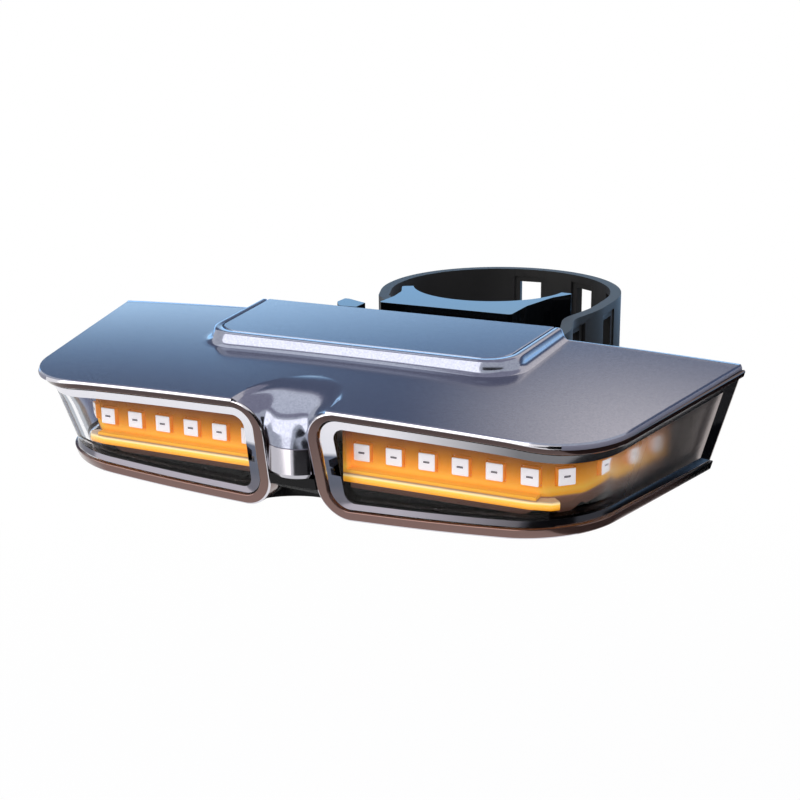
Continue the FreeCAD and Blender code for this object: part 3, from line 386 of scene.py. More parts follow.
def satinMetallicPaint(name, color, dark):
    # sprayed two-coat metallic: flakes under clear lacquer, a fine sparkle and a soft reflection
    material, tree, shader = newMaterial(
        name, color, Metallic=0.95, Roughness=0.14, Coat_Weight=0.1, Coat_Roughness=0.08)
    flakes = addNode(tree, "ShaderNodeTexVoronoi", {  # drawn at a pixel's size
        "Scale": 1 / (0.17 * mm), "Vector": objectPlace(tree)})
    grey = addNode(tree, "ShaderNodeSeparateColor", {"Color": flakes.outputs["Color"]}).outputs
    sparkle = calc(tree, "MULTIPLY_ADD", grey["Red"], 0.55, noise(tree, 0.4, 3.0))
    feed(shader, Base_Color=mixed(tree, sparkle, srgb(dark), srgb(color)),
         Roughness=ranged(tree, grey["Green"], 0, 1, 0.12, 0.17))
    return material


def satinChrome(name, color, roughness):
    # electroplated plastic: near-mirror with a faint cloudiness
    material, tree, shader = newMaterial(name, color, Metallic=1.0)
    grain = grainBump(tree, shader, 1.5, 0.03)
    feed(shader, Roughness=ranged(tree, grain, 0, 1, roughness * 0.85, roughness * 1.15))
    return material


def polishedBronzePlate(name, color):
    # metallised gloss moulding: warm brown-grey mirror that is black at the lower right end; its
    # brown is painted darker towards the top, as shading
    material, tree, shader = newMaterial(name, color, Metallic=0.75, Coat_Weight=0.5,
                                         Coat_Roughness=0.05)
    grain = grainBump(tree, shader, 0.8, 0.02)
    # painted shade: the brown darkens from the bezel's foot up to its top
    brown = rampNode(tree, axisShare(tree, "Z", lightTop - 16.0, lightTop - 1.0), [
        (0.0, "#765953"), (0.3, "#6b534c"), (0.8, "#5a4340"), (0.93, "#3d2a29")])
    black = calc(tree, "MULTIPLY", axisShare(tree, "X", 43.5, 45.5),
                 axisShare(tree, "Z", lightTop - 10, lightTop - 12))
    feed(shader, Base_Color=mixed(tree, black, brown, srgb("#0d0c0e")),
         Roughness=ranged(tree, grain, 0, 1, 0.13, 0.2))
    return material


def clearAcrylic(name, color):
    # moulded PMMA, polished in front, frosted and a little smoky towards the back; lets light in
    material, tree, shader = newMaterial(name, color, IOR=1.2, Transmission_Weight=1.0)
    grainBump(tree, shader, 6.0, 0.02, 0.05)
    smoke = axisShare(tree, "Y", -54, -46)
    feed(shader, Base_Color=mixed(tree, smoke, srgb(color), srgb("#a89f9c")),
         Roughness=axisShare(tree, "Y", -65, -54, 0.02, 0.28))
    path = addNode(tree, "ShaderNodeLightPath").outputs
    through = calc(tree, "MAXIMUM", path["Is Shadow Ray"], path["Is Diffuse Ray"])
    clear = output(tree, "ShaderNodeBsdfTransparent")
    feed(tree.nodes["Material Output"],
         Surface=mixShaders(tree, through, shader.outputs["BSDF"], clear))
    return material


def silverBevel(name):
    # polished bevel of the clear lens: its colour is a painted reflection, silvery above and dark
    # below, and painted darker towards the outer end
    material, tree, shader = newMaterial(name, "#e6e9f0", Metallic=0.9, Roughness=0.18)
    silver = rampNode(tree, axisShare(tree, "Z", lightTop - 16.5, lightTop - 2.0), [
        (0.0, "#696771"), (0.2, "#6c6b75"), (0.3, "#5d616e"), (0.58, "#5f6678"),
        (0.62, "#dfe0e8"), (1.0, "#eceaf0")])
    # painted shade: the bevel darkens from 14 to 32 mm out from the middle
    paintedShadeOutward = axisShare(tree, "X", 14, 32, 1.0, 0.22)
    feed(shader, Base_Color=mixed(tree, 1.0, silver, paintedShadeOutward, "MULTIPLY"))
    grainBump(tree, shader, 0.5, 0.04)
    return material


def mouldedPlastic(name, color, roughness, size=0.4, strength=0.15, shine=0.5):
    # spark-eroded mould texture, half gloss
    material, tree, shader = newMaterial(name, color, Specular_IOR_Level=shine)
    grain = grainBump(tree, shader, size, strength)
    feed(shader, Roughness=ranged(tree, grain, 0, 1, roughness * 0.8, min(roughness * 1.25, 1.0)))
    return material


def softRubber(name, color, roughness=0.62, shine=0.2):
    # moulded silicone: dark, slightly dusty with a soft sheen
    material, tree, shader = newMaterial(name, color, Roughness=roughness, Sheen_Weight=0.05,
                                         Specular_IOR_Level=shine)
    grainBump(tree, shader, 0.3, 0.12)
    dust = brighter(color, 1.5, 0.004)
    feed(shader, Base_Color=mixed(tree, noise(tree, 9.0, 4.0), srgb(color), dust))
    return material


def brushedSteel(name, color, roughness):
    # drawn or rolled steel: fine lines one way
    material, tree, shader = newMaterial(name, color, Metallic=1.0)
    stretch = output(tree, "ShaderNodeMapping", {"Scale": (1, 12, 1), "Vector": objectPlace(tree)})
    lines = noise(tree, 1.2, 3.0, stretch)
    feed(shader, Roughness=ranged(tree, lines, 0, 1, roughness * 0.7, roughness * 1.4))
    return material


def lampPackage(name):
    # white lamp moulding with a lit face; amber light on its sides is painted into its colour and
    # glow
    material, tree, shader = newMaterial(name, "#d8d4d2", Roughness=0.35, Emission_Strength=0.25)
    lit = addNode(tree, "ShaderNodeAttribute", attribute_name="lit").outputs["Fac"]
    # painted light: faces that look away from the front take the amber glow
    litFaceAndPaintedAmber = mixed(tree, ranged(tree, lit, 0.3, 0.8), srgb("#e8962e"), srgb("#f3eff0"))
    feed(shader, Base_Color=litFaceAndPaintedAmber, Emission_Color=litFaceAndPaintedAmber)
    return material


def amberReflector(name):
    # metallised amber moulding, its own amber and brown with the lamps' light painted on in colour
    # and glow: orange between them, a yellow pool of light under them, darker towards the brown tray
    # below and towards the top
    material, tree, shader = newMaterial(name, "#c9781f", Roughness=0.6, Specular_IOR_Level=0.02,
                                         Emission_Strength=0.26)
    amber = rampNode(tree, axisShare(tree, "Z", lightTop - 16.0, lightTop - 4.5), [
        (0.0, "#3a2a24"), (0.3, "#755548"), (0.42, "#7d5c4c"), (0.44, "#8f6a5c"),
        (0.465, "#f7ad34"), (0.52, "#ffc24a"), (0.6, "#f2a234"), (0.75, "#c27a1f"),
        (0.92, "#84481f"), (1.0, "#4a2a1a")])
    away = calc(tree, "ABSOLUTE", axes(tree)["X"])
    # painted glow falls off away from the middle and towards the back
    fade = calc(tree, "MULTIPLY", ranged(tree, away, 20 * mm, 42 * mm, 1.0, 0.45),
                axisShare(tree, "Y", -64, -57, 1.0, 0.55))
    feed(shader, Base_Color=amber, Emission_Color=mixed(tree, 1.0, amber, fade, "MULTIPLY"))
    return material


def guideDiffuser(name):
    # clear bar that carries the lamps' light, painted into its colour and glow: pale top, yellow
    # lower edge
    material, tree, shader = newMaterial(name, "#fff1c8", Roughness=0.25, Emission_Strength=0.4)
    paintedGlowRamp = rampNode(tree, axisShare(tree, "Z", lightTop - 12.15, lightTop - 10.9), [
        (0.0, "#e08a14"), (0.3, "#f7a922"), (0.62, "#ffc23c"), (0.8, "#ffe2a0"), (1.0, "#8f7870")])
    feed(shader, Base_Color=paintedGlowRamp, Emission_Color=paintedGlowRamp)
    return material


def circuitBoard(name, color):
    # solder mask over copper: faint tracks
    material, tree, shader = newMaterial(name, color, Roughness=0.4)
    feed(shader, Base_Color=output(tree, "ShaderNodeTexBrick", {
        "Scale": 1 / (3.0 * mm), "Mortar Size": 0.06, "Color1": srgb(color),
        "Color2": brighter(color, 1.25), "Mortar": brighter(color, 1.7),
        "Vector": objectPlace(tree)}))
    return material


finish = dict(
    paint=satinMetallicPaint("gunmetal metallic paint", "#959aab", "#82879a"),
    inlayPaint=satinMetallicPaint("gunmetal metallic paint on the inlay", "#8e99ae", "#7a859c"),
    edgePaint=mouldedPlastic("thin grey paint on the cover's edge", "#6c6c7c", 0.45, 0.3, 0.03),
    nose=satinChrome("satin chrome plating", "#b9b7c0", 0.16),
    bezel=polishedBronzePlate("metallised bronze-grey moulding", "#6b534c"),
    bezelEdge=satinChrome("polished bezel edge", "#d9d7de", 0.14),
    lens=clearAcrylic("clear acrylic lens", "#fdfdff"),
    lensBevel=silverBevel("silvery lens bevel"),
    housing=mouldedPlastic("black moulded polycarbonate", "#0b0b0d", 0.25, 0.4, 0.06, 0.15),
    rubber=softRubber("black silicone", "#141416"),
    strap=softRubber("strap rubber", "#0a0a0b", 0.5, 0.35),
    saddle=mouldedPlastic("black glass-filled nylon", "#040507", 0.12, 0.5, 0.02, 0.4),
    lamp=lampPackage("white lamp moulding"),
    lampMark=mouldedPlastic("lamp die", "#79747a", 0.4),
    reflector=amberReflector("amber metallised reflector"),
    guide=guideDiffuser("light guide acrylic"),
    whiteBoard=circuitBoard("white solder mask", "#d8d4c8"),
    greenBoard=circuitBoard("green solder mask", "#12482a"),
    chip=mouldedPlastic("chip epoxy", "#151515", 0.5),
    steel=brushedSteel("plated steel", "#b4b4b8", 0.3),
    springSteel=brushedSteel("spring steel strip", "#9c9ca2", 0.35),
    blackSteel=brushedSteel("black oxide steel", "#2b2b2e", 0.4),
    foil=brushedSteel("battery foil pouch", "#c4c6ca", 0.4),
    foam=mouldedPlastic("grey foam tape", "#5d5d60", 0.85, 0.3, 0.5),
    wire=mouldedPlastic("red lead insulation", "#8f1512", 0.4, 0.2, 0.05),
    nylon=mouldedPlastic("natural nylon", "#e5e1d4", 0.45),
    film=mouldedPlastic("amber polyimide film", "#a0641c", 0.3, 0.3, 0.05),
    button=softRubber("button silicone", "#1d1d20", 0.5),
)
print("stage: materials", len(finish))


# cover, nose and inlay

cover = dict(
    platformLevel=2.98, platformSlope=0.0516, wallStart=-0.55, wallHeight=1.7, edgeIn=0.25,
    stripEnd=38.0, backBevel=0.2, creaseApex=26.0, creaseLength=10.0, creaseHalf=6.9,
)
platform = dict(backHalf=24.6, frontHalf=23.7, front=18.3, corner=5.0)
wallBends = ((0, 60, 0.6), (60, 73, 1.0), (73, 0, 1.6))  # slope in degrees, run of the surface
inlay = dict(backHalf=23.3, frontHalf=22.3, front=16.9, corner=4.0, thickness=0.8, gap=0.22,
             bevel=0.16)
nose = dict(
    front=36.2, column=4.2, seam=-7.2, rollHeight=5.2, rows=44, bottom=-11.5, chamfer=0.7,
    joint=0.06, reach=48.0, leanFrom=-1.5,
)


def halfOutline(back, front, depth, radius, inner=0.0, counts=(34, 22, 60)):
    # right half of a rounded plan outline, from the back edge round to the middle
    slope = (back - front) / depth
    length = math.hypot(back - front, depth)
    sideX, sideY = (back - front) / length, depth / length
    reach = radius / math.tan(math.acos(-sideX) / 2)
    side = np.linspace((back, 0.0), (front + sideX * reach, -depth + sideY * reach), counts[0])
    turns = np.linspace(math.atan2(-sideX, sideY), -math.pi / 2, counts[1])
    arc = np.stack([front - reach + radius * np.cos(turns),
                    -depth + radius + radius * np.sin(turns)], -1)
    ahead = np.linspace((front - reach, -depth), (inner, -depth), counts[2])
    return np.concatenate([side[:-1], arc, ahead[1:]])


def creaseHalfWidth(depth):
    c = cover
    middle = c["creaseApex"] + c["creaseLength"]
    if depth <= c["creaseApex"]:
        return 0.0
    share = max(middle - depth, 0.0) / c["creaseLength"]
    return c["creaseHalf"] * math.sqrt(1 - share * share)


def grown(shape, grow):
    # the platform's or the inlay's plan, larger all round
    return tuple(shape[key] + grow for key in ("backHalf", "frontHalf", "front", "corner"))


def coverShape(inset):
    return movedIn(inset, *(body[k] for k in ("backHalf", "frontHalf", "depth", "cornerRadius")))


def platformZ(y):
    return cover["platformLevel"] + cover["platformSlope"] * y


def wallProfile(steps=9):
    # offset and height share down the platform's wall: shoulder, slope and foot
    spots = [(0.0, 0.0)]
    for first, last, run in wallBends:
        for k in range(steps):
            angle = math.radians(first + (last - first) * (k + 0.5) / steps)
            away, down = spots[-1]
            spots.append((away + math.cos(angle) * run / steps, down + math.sin(angle) * run / steps))
    height = spots[-1][1]
    scale = cover["wallHeight"] / height
    return [(cover["wallStart"] + away * scale, 1 - down / height) for away, down in spots]


def coverRings():
    # every ring of the cover's top, from the recess under the inlay out to the rim
    i = inlay
    rings = []
    floor = i["thickness"] + 0.02
    for grow, drop in ((-1.5, floor), (i["gap"], floor), (i["gap"], 0.1), (i["gap"] + 0.04, 0.03),
                       (i["gap"] + 0.12, 0.0)):
        line = halfOutline(*grown(inlay, grow))
        rings.append(np.column_stack([line, platformZ(line[:, 1]) - drop]))
    rings.insert(0, rings[0] * (0, 1, 1))  # the recess's floor runs in to the middle
    for away, share in wallProfile():
        line = halfOutline(*grown(platform, away))
        plate = crownZ(line[:, 0], line[:, 1])
        rings.append(np.column_stack([line, plate + (platformZ(line[:, 1]) - plate) * share]))
    foot = np.array(grown(platform, wallProfile()[-1][0]))
    rim = np.array(coverShape(cover["edgeIn"]))
    middle = cover["creaseApex"] + cover["creaseLength"]
    depths = list(np.linspace(foot[2], cover["creaseApex"], 12)[1:])
    turns = np.radians(np.linspace(0, 90, 30))[1:]
    depths += list(middle - cover["creaseLength"] * np.cos(turns))
    depths.append(rim[2])
    for depth in depths:
        share = (depth - foot[2]) / (rim[2] - foot[2])
        line = halfOutline(*(foot + (rim - foot) * share), inner=creaseHalfWidth(depth))
        rings.append(np.column_stack([line, crownZ(line[:, 0], line[:, 1])]))
    first = len(rings)
    for inset, share, drop in ((0.1, 0.3, 0.0), (0.0, 0.76, 0.0), (0.04, 1.0, 0.0),
                               (body["seat"], 1.0, 0.0), (body["seat"] + 0.1, 0.0, body["plate"])):
        line = halfOutline(*coverShape(inset), inner=cover["creaseHalf"])
        lower = crownZ(line[:, 0], line[:, 1]) - coverEdge(line[:, 0]) * share - drop
        rings.append(np.column_stack([line, lower]))
    return rings, first


def creasePoints(rings, first):
    apex = next(k for k in range(first) if rings[k][-1, 1] <= -cover["creaseApex"] + 1e-6)
    return np.array([rings[k][-1] for k in range(apex, first)])


def nosePatch(crease):
    # right half of the nose: a smooth patch between the crease, the bezel's rim and the seam
    n = nose
    count, rows = len(crease), n["rows"]
    apex = crease[0]
    turns = np.linspace(0, math.pi / 2, 40)
    run = n["front"] + apex[1]
    middle = np.stack([0 * turns, apex[1] - run * np.sin(turns),
                       apex[2] - n["rollHeight"] * (1 - np.cos(turns))], -1)
    middle = np.concatenate([middle, [[0, -n["front"], n["seam"]]]])
    arc = outerRim[(outerRim[:, 0] < cover["creaseHalf"]) & (outerRim[:, 1] > n["seam"])]
    deep = 0.25 + 0.45 * np.clip((arc[0, 1] - arc[:, 1]) / (arc[0, 1] - n["seam"]), 0, 1) ** 2
    rim = wallPoint(arc[:, 0] - 0.04, arc[:, 1], deep)
    side = n["column"] ** 2 - rim[-1, 0] ** 2
    last = [rim[-1, 0], -n["front"] + n["column"] - math.sqrt(side), n["seam"]]
    rim = np.concatenate([[crease[-1]], rim, [last]])
    across = np.linspace(0, 1, count) * math.asin(last[0] / n["column"])
    low = np.stack([n["column"] * np.sin(across),
                    -n["front"] + n["column"] - n["column"] * np.cos(across),
                    np.full(count, n["seam"])], -1)

    def resample(line, places):
        steps = np.concatenate([[0], np.cumsum(np.linalg.norm(np.diff(line, axis=0), axis=1))])
        return np.stack([np.interp(places, steps / steps[-1], line[:, k]) for k in range(3)], -1)

    v = np.linspace(0, 1, rows)
    left, right = resample(middle, v), resample(rim, v)
    u = np.linspace(0, 1, count)[None, :, None] ** 2
    w = (1 - (1 - v) ** 2)[:, None, None]
    patch = (1 - u) * left[:, None] + u * right[:, None]
    patch = patch + (1 - w) * crease[None] + w * low[None]
    patch = patch - ((1 - u) * ((1 - w) * crease[0] + w * low[0])
                     + u * ((1 - w) * crease[-1] + w * low[-1]))
    tuck = patch[-1] + np.array([0, 0.5, 0])
    return np.concatenate([patch, tuck[None]])


def makeCover():
    rings, first = coverRings()
    crease = creasePoints(rings, first)
    count = len(rings[0])
    points = list(np.concatenate(rings))
    faces = gridFaces(len(rings), count)
    slots = []
    for k in range(len(faces)):
        row, place = divmod(k, count - 1)
        front = points[row * count + place][0] < cover["stripEnd"]
        slots.append((1 if front else 2) if row in (first, first + 1) else 0)
    bevel = cover["backBevel"]
    for k in range(len(rings)):
        points[k * count] = points[k * count] + (0, -bevel, 0)
    previous = [k * count for k in range(first)]
    edge = np.array([points[k] for k in previous])
    under = crownZ(edge[:, 0], edge[:, 1]) - body["plate"]
    for push, drop in ((bevel * 0.7, 0.05), (bevel, 0.18), (bevel, None), (-2.0, None)):
        start = len(points)
        low = under if drop is None else edge[:, 2] - drop
        points.extend(np.column_stack([edge[:, 0], edge[:, 1] + push, low]))
        for k in range(first - 1):
            faces.append((previous[k], previous[k + 1], start + k + 1, start + k))
        previous = list(range(start, start + first))
    patch = nosePatch(crease)
    start = len(points)
    points.extend(patch.reshape(-1, 3))
    faces += gridFaces(patch.shape[0], patch.shape[1], start)
    slots += [0] * (len(faces) - len(slots))
    right = makeMesh("coverRight", points, faces, slots=slots)
    return joinHalves("topCover", right, 32)


def makeNoseTrim():
    n = nose
    turns = np.radians(np.linspace(-n["reach"], n["reach"], 64))
    centre = -n["front"] + n["column"]
    top = n["seam"] - n["joint"]
    rows = []
    for radius, z in ((n["column"] - 1.0, top), (n["column"] - 0.08, top),
                      (n["column"], top - 0.08), (n["column"], n["bottom"] + n["chamfer"]),
                      (n["column"] - n["chamfer"], n["bottom"]), (1.5, n["bottom"])):
        arc = np.stack([radius * np.sin(turns), centre - radius * np.cos(turns),
                        np.full(len(turns), z)], -1)
        lean = (bezelSize["noseLower"] - bezelSize["noseUpper"]) * (n["leanFrom"] - z) / runs["lean"]
        flank = wallPoint(bezelSize["noseUpper"] + lean - 0.07, z, 1.9)
        rows.append(np.concatenate([[flank * (-1, 1, 1)], arc, [flank]]))
    return makeMesh("noseTrim", np.concatenate(rows), gridFaces(len(rows), len(rows[0])),
                    smoothAngle=25)


def makeInlay():
    i = inlay
    rings = []
    for inset, drop in ((0.0, i["thickness"] - 0.03), (0.0, i["bevel"] * 0.9),
                        (i["bevel"] * 0.3, i["bevel"] * 0.3), (i["bevel"], 0.0),
                        (9.0, 0.0)):
        back, front, depth, radius = grown(inlay, -inset)
        line = halfOutline(back, front, depth, max(radius, 0.5), counts=(20, 16, 30))
        rings.append(np.column_stack([line, platformZ(line[:, 1]) - drop]))
    count = len(rings[0])
    points = list(np.concatenate(rings))
    faces = gridFaces(len(rings), count)
    middle = len(points)
    points.append((0.0, 0.0, platformZ(0.0)))
    last = middle - count
    for k in range(count - 1):
        faces.append((last + k, last + k + 1, middle))
    return joinHalves("topInlay", makeMesh("inlayRight", points, faces), 22, closed=True)


topCover = makeCover()
dress(topCover, "light", ("paint", "bezelEdge", "edgePaint"), ("top_housing",))
noseTrim = makeNoseTrim()
dress(noseTrim, "light", ("nose",), ("nose_trim",))
topInlay = makeInlay()
dress(topInlay, "light", ("inlayPaint",), ("top_inlay_plate",))
print("stage: cover, nose and inlay")


# bezels and lenses

lensSize = dict(recess=0.4, ringDepth=0.5, thick=1.9, play=0.03, ring=1.5, endRing=2.6,
                endPlay=0.05)


def makeBezel():
    b = bezelSize
    inner = innerRim(0.0)
    lip = innerRim(-0.8)
    stations = [
        (outerRim, b["depth"]),
        (outerRim, b["chamferDepth"]),
        (between(outerRim, inner, b["chamfer"] * 0.5), b["chamferDepth"] * 0.32),
        (between(outerRim, inner, b["chamfer"]), 0.0),
        (between(inner, outerRim, b["innerEdge"]), 0.0),
        (between(inner, outerRim, b["innerEdge"] * 0.3), b["innerEdge"] * 0.4),
        (inner, b["innerEdge"] * 1.2),
        (inner, b["lip"]),
        (lip, b["lip"]),
        (lip, b["depth"]),
    ]

    def bright(row, place):
        # the chamfer shines as far as the corner
        return int(row in (1, 2) and outerRim[place, 0] < b["brightEnd"])

    return sweepWall("bezelRight", stations, 24, bright)


def makeLens():
    s = lensSize
    end = runs["end"] - s["endPlay"]
    deep = s["recess"] + s["thick"]

    def closed(curve, steps=8):
        # adds the straight line at the back end, so that the outline closes
        last = np.linspace(curve[-1], curve[0], steps)[1:-1]
        return np.concatenate([curve, last])

    edge = innerRim(s["play"], end)
    ring = innerRim(s["ring"], end - s["endRing"])
    half = len(edge) // 2
    outer, inner = closed(edge), closed(ring)
    rows = [(outer, deep), (outer, s["recess"] + 0.06), (between(outer, inner, 0.08), s["recess"]),
            (between(outer, inner, 0.2), s["recess"] + 0.03), (inner, s["recess"] + s["ringDepth"])]
    layers = [wallPoint(curve[:, 0], curve[:, 1], inset) for curve, inset in rows]
    count = len(outer)
    faces = gridFaces(len(layers), count, wrapColumns=True)
    slots = [int(k // count == 3) for k in range(len(faces))]
    points = list(np.concatenate(layers))
    for curve, inset in ((ring, s["recess"] + s["ringDepth"]), (edge, deep)):
        upper, lower = curve[:half], curve[::-1][:half]
        faces += gridFaces(8, half, len(points))
        for t in np.linspace(0, 1, 8):
            line = upper * (1 - t) + lower * t
            points.extend(wallPoint(line[:, 0], line[:, 1], inset))
    slots += [0] * (len(faces) - len(slots))
    return makeMesh("lensRight", points, faces, smoothAngle=28, slots=slots)


dressPair(makeBezel(), "bezel", ("bezel", "bezelEdge"))
dressPair(makeLens(), "lens", ("lens", "lensBevel"))
print("stage: bezels and lenses")


# lamps

lamp = dict(size=2.4, depth=1.2, level=-8.2, first=8.5, pitch=4.6, front=6, sidePitch=5.7,
            sideCount=3, sideStart=0.7, boardX=6.3, boardY=-28.9, boardEnd=-7.0, boardHalf=0.5,
            sideInset=6.2, chamferRun=3.3, bevel=0.22, mark=(0.85, 0.03, 0.26))


def lampPath():
    p = lamp
    back, front, depth, radius = (float(v) for v in sideOutline(p["level"], 0.0))
    slope = (back - front) / depth
    start = back - p["sideInset"] * math.hypot(1, slope)
    cornerY = p["boardY"] + p["chamferRun"]
    cornerX = start + slope * cornerY
    return np.array([(p["boardX"], p["boardY"]), (cornerX - p["chamferRun"], p["boardY"]),
                     (cornerX, cornerY), (start + p["boardEnd"] * slope, p["boardEnd"])])


def lampPlaces():
    # foot and turn of each lamp on the right-hand board
    p = lamp
    path = lampPath()
    places = [(p["first"] + k * p["pitch"], p["boardY"], 0.0) for k in range(p["front"])]
    places.append((*((path[1] + path[2]) / 2), math.pi / 4))
    along = (path[3] - path[2]) / np.linalg.norm(path[3] - path[2])
    turn = math.atan2(along[1], along[0])
    for k in range(p["sideCount"]):
        spot = path[2] + along * p["sidePitch"] * (k + p["sideStart"])
        places.append((*spot, turn))
    return [(x + p["boardHalf"] * math.sin(t), y - p["boardHalf"] * math.cos(t), t)
            for x, y, t in places]


def spreadBlocks(name, places, size, lift):
    # Geometry Nodes: one block on each place, turned with it; "lit" marks the outer faces
    mesh = bpy.data.meshes.new(name)
    mesh.from_pydata([(x * mm, (y + lightBack) * mm, (lamp["level"] + lightTop) * mm)
                      for x, y, t in places], [], [])
    turnOf = mesh.attributes.new("turn", "FLOAT", "POINT")
    turnOf.data.foreach_set("value", [t for x, y, t in places])
    piece = newObject(name, mesh)
    tree = bpy.data.node_groups.new(name, "GeometryNodeTree")
    sockets = [tree.interface.new_socket(label, in_out=way, socket_type="NodeSocket" + kind)
               for label, way, kind in (
                   ("Geometry", "INPUT", "Geometry"), ("Block size", "INPUT", "Vector"),
                   ("Stand-off", "INPUT", "Float"), ("Geometry", "OUTPUT", "Geometry"))]
    inputs = addNode(tree, "NodeGroupInput").outputs
    block = output(tree, "GeometryNodeMeshCube", {"Size": inputs["Block size"]})
    away = output(tree, "ShaderNodeCombineXYZ", {
        "Y": calc(tree, "MULTIPLY", inputs["Stand-off"], -1.0)})
    moved = output(tree, "GeometryNodeTransform", {"Geometry": block, "Translation": away})
    facing = addNode(tree, "ShaderNodeVectorMath", {
        0: output(tree, "GeometryNodeInputNormal"), 1: (0, -1, 0)}, operation="DOT_PRODUCT")
    marked = output(tree, "GeometryNodeStoreNamedAttribute", {
        "Name": "lit", "Geometry": moved, "Value": facing.outputs["Value"]},
        data_type="FLOAT", domain="FACE")
    turn = output(tree, "GeometryNodeInputNamedAttribute", {"Name": "turn"}, data_type="FLOAT")
    copies = output(tree, "GeometryNodeInstanceOnPoints", {
        "Points": inputs["Geometry"], "Instance": marked,
        "Rotation": output(tree, "ShaderNodeCombineXYZ", {"Z": turn})})
    real = output(tree, "GeometryNodeRealizeInstances", {"Geometry": copies})
    addNode(tree, "NodeGroupOutput", {"Geometry": real})
    modifier = piece.modifiers.new("blocks", "NODES")
    modifier.node_group = tree
    modifier[sockets[1].identifier] = tuple(v * mm for v in size)
    modifier[sockets[2].identifier] = lift * mm
    return bake(piece)


def roundEdges(piece, width):
    piece.data.polygons.foreach_set("use_smooth", [True] * len(piece.data.polygons))
    bevel = piece.modifiers.new("edge", "BEVEL")
    bevel.harden_normals = True
    bevel.width = width * mm
    bevel.segments = 2
    bevel.limit_method = "ANGLE"
    bevel.angle_limit = math.radians(30)
    return bake(piece)


rightPlaces = lampPlaces()
leftPlaces = [(-x, y, -t) for x, y, t in rightPlaces]
for side, places in (("Right", rightPlaces), ("Left", leftPlaces)):
    blocks = spreadBlocks("lamps" + side, places, (lamp["size"], lamp["depth"], lamp["size"]),
                          lamp["depth"] / 2)
    dress(roundEdges(blocks, lamp["bevel"]), "light", ("lamp",),
          ("leds_" + side.lower(),))
    marks = spreadBlocks("lampMarks" + side, places, lamp["mark"],
                         lamp["depth"] + lamp["mark"][1] / 2)
    dress(marks, "light", ("lampMark",))
print("stage: lamps", len(rightPlaces), "a side")


def sweepSection(name, path, section):
    # section points are (out, up) from a plan path that starts at its inner end
    path = np.asarray(path, float)
    steps = np.diff(path, axis=0)
    steps /= np.linalg.norm(steps, axis=1, keepdims=True)
    rows = []
    for k, spot in enumerate(path):
        a, b = steps[max(k - 1, 0)], steps[min(k, len(steps) - 1)]
        side = np.array([a[1] + b[1], -a[0] - b[0]])
        side /= np.linalg.norm(side) * max(np.linalg.norm(a + b) / 2, 0.3)
        rows.append([(*(spot + side * out), up) for out, up in section])
    count = len(section)
    points = np.concatenate(rows)
    faces = gridFaces(len(rows), count, wrapColumns=True)
    faces.append(list(range(count)))
    faces.append(list(range(len(points) - count, len(points)))[::-1])
    return makeMesh(name, points, faces, smoothAngle=40)


guide = dict(near=1.1, far=2.7, top=-10.95, bottom=-12.15, round=0.3, past=0.2,
             bendStart=1.2, bendEnd=0.4)


def makeGuide():
    g = guide
    path = lampPath()
    end = path[1] + (path[2] - path[1]) * g["past"]
    r = g["round"]
    section = [(g["near"], g["top"]), (g["near"], g["bottom"]), (g["far"] - r, g["bottom"]),
               (g["far"] - r * 0.3, g["bottom"] + r * 0.3), (g["far"], g["bottom"] + r),
               (g["far"], g["top"] - r * 0.5), (g["far"] - r * 0.5, g["top"])]
    route = [path[0], path[1] - (g["bendStart"], 0), path[1] + (g["bendEnd"], g["bendEnd"]), end]
    return sweepSection("guideRight", route, section)


dressPair(makeGuide(), "light_guide", ("guide",))
print("stage: light guides")


# pieces whose shape the part already has, with their edges broken

def brokenEdges(node, name, width):
    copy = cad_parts[node].copy()
    copy.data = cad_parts[node].data.copy()
    copy.name = name
    copy.parent = None
    for key in list(copy.keys()):
        del copy[key]
    copy.matrix_world = Matrix.Identity(4)
    copy.data.materials.clear()
    bpy.context.scene.collection.objects.link(copy)
    work = bmesh.new()
    work.from_mesh(copy.data)
    bmesh.ops.remove_doubles(work, verts=work.verts, dist=0.002 * mm)
    bmesh.ops.dissolve_limit(work, angle_limit=math.radians(0.5), verts=work.verts,
                             edges=work.edges)  # flat faces become one face each
    work.to_mesh(copy.data)
    work.free()
    tidyMesh(copy.data, 30, outward=False)
    return roundEdges(copy, width)


copies = dict(
    bottom_housing=("lowerHousing", 0.12, "light", "housing_black", "housing"),
    rail_socket=("railSocket", 0.2, "light", "housing_black", "housing"),
    usb_cover=("chargingFlap", 0.12, "charging_flap", "flap_rubber", "rubber"),
    power_button=("powerButton", 0.1, "button", "button_rubber", "button"),
    rail_bracket=("railBracket", 0.2, "mount", "saddle_black", "saddle"),
    saddle_block=("saddleBlock", 0.25, "mount", "saddle_black", "saddle"),
    saddle_pad=("saddlePad", 0.15, "mount", "pad_rubber", "rubber"),
    strap=("postStrap", 0.14, "mount", "strap_rubber", "strap"),
)
for node, (name, width, bodyName, slotName, key) in copies.items():
    dress(brokenEdges(node, name, width), bodyName, (key,), (node,))
print("stage: bracket, saddle, strap and housings")

plain = dict(  # pieces that keep the part's own mesh
    housing_seal="rubber", lens_gasket_left="rubber", lens_gasket_right="rubber",
    reflector_left="reflector", reflector_right="reflector",
    led_board_left="whiteBoard", led_board_right="whiteBoard", led_ribbons="film",
    main_board="greenBoard", board_components="chip", battery_pad="foam", battery_cell="foil",
    battery_leads="wire", lead_connector="nylon", usb_socket="steel", tact_switch="steel",
    housing_screws="steel", board_screws="steel", socket_screws="steel",
    detent_spring="springSteel", switch_plunger="chip", bracket_screw="blackSteel",
)
for node, key in plain.items():
    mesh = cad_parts[node].data
    mesh.materials.clear()
    mesh.materials.append(finish[key])
print("stage: inner pieces")


# studio

camera = dict(place=(90.04, -220.55, 59.88), turn=25.94, tilt=16.4, roll=-0.58, focal=1440.8,
              image=800, sensor=36.0)  # turns in degrees, focal length and image in pixels


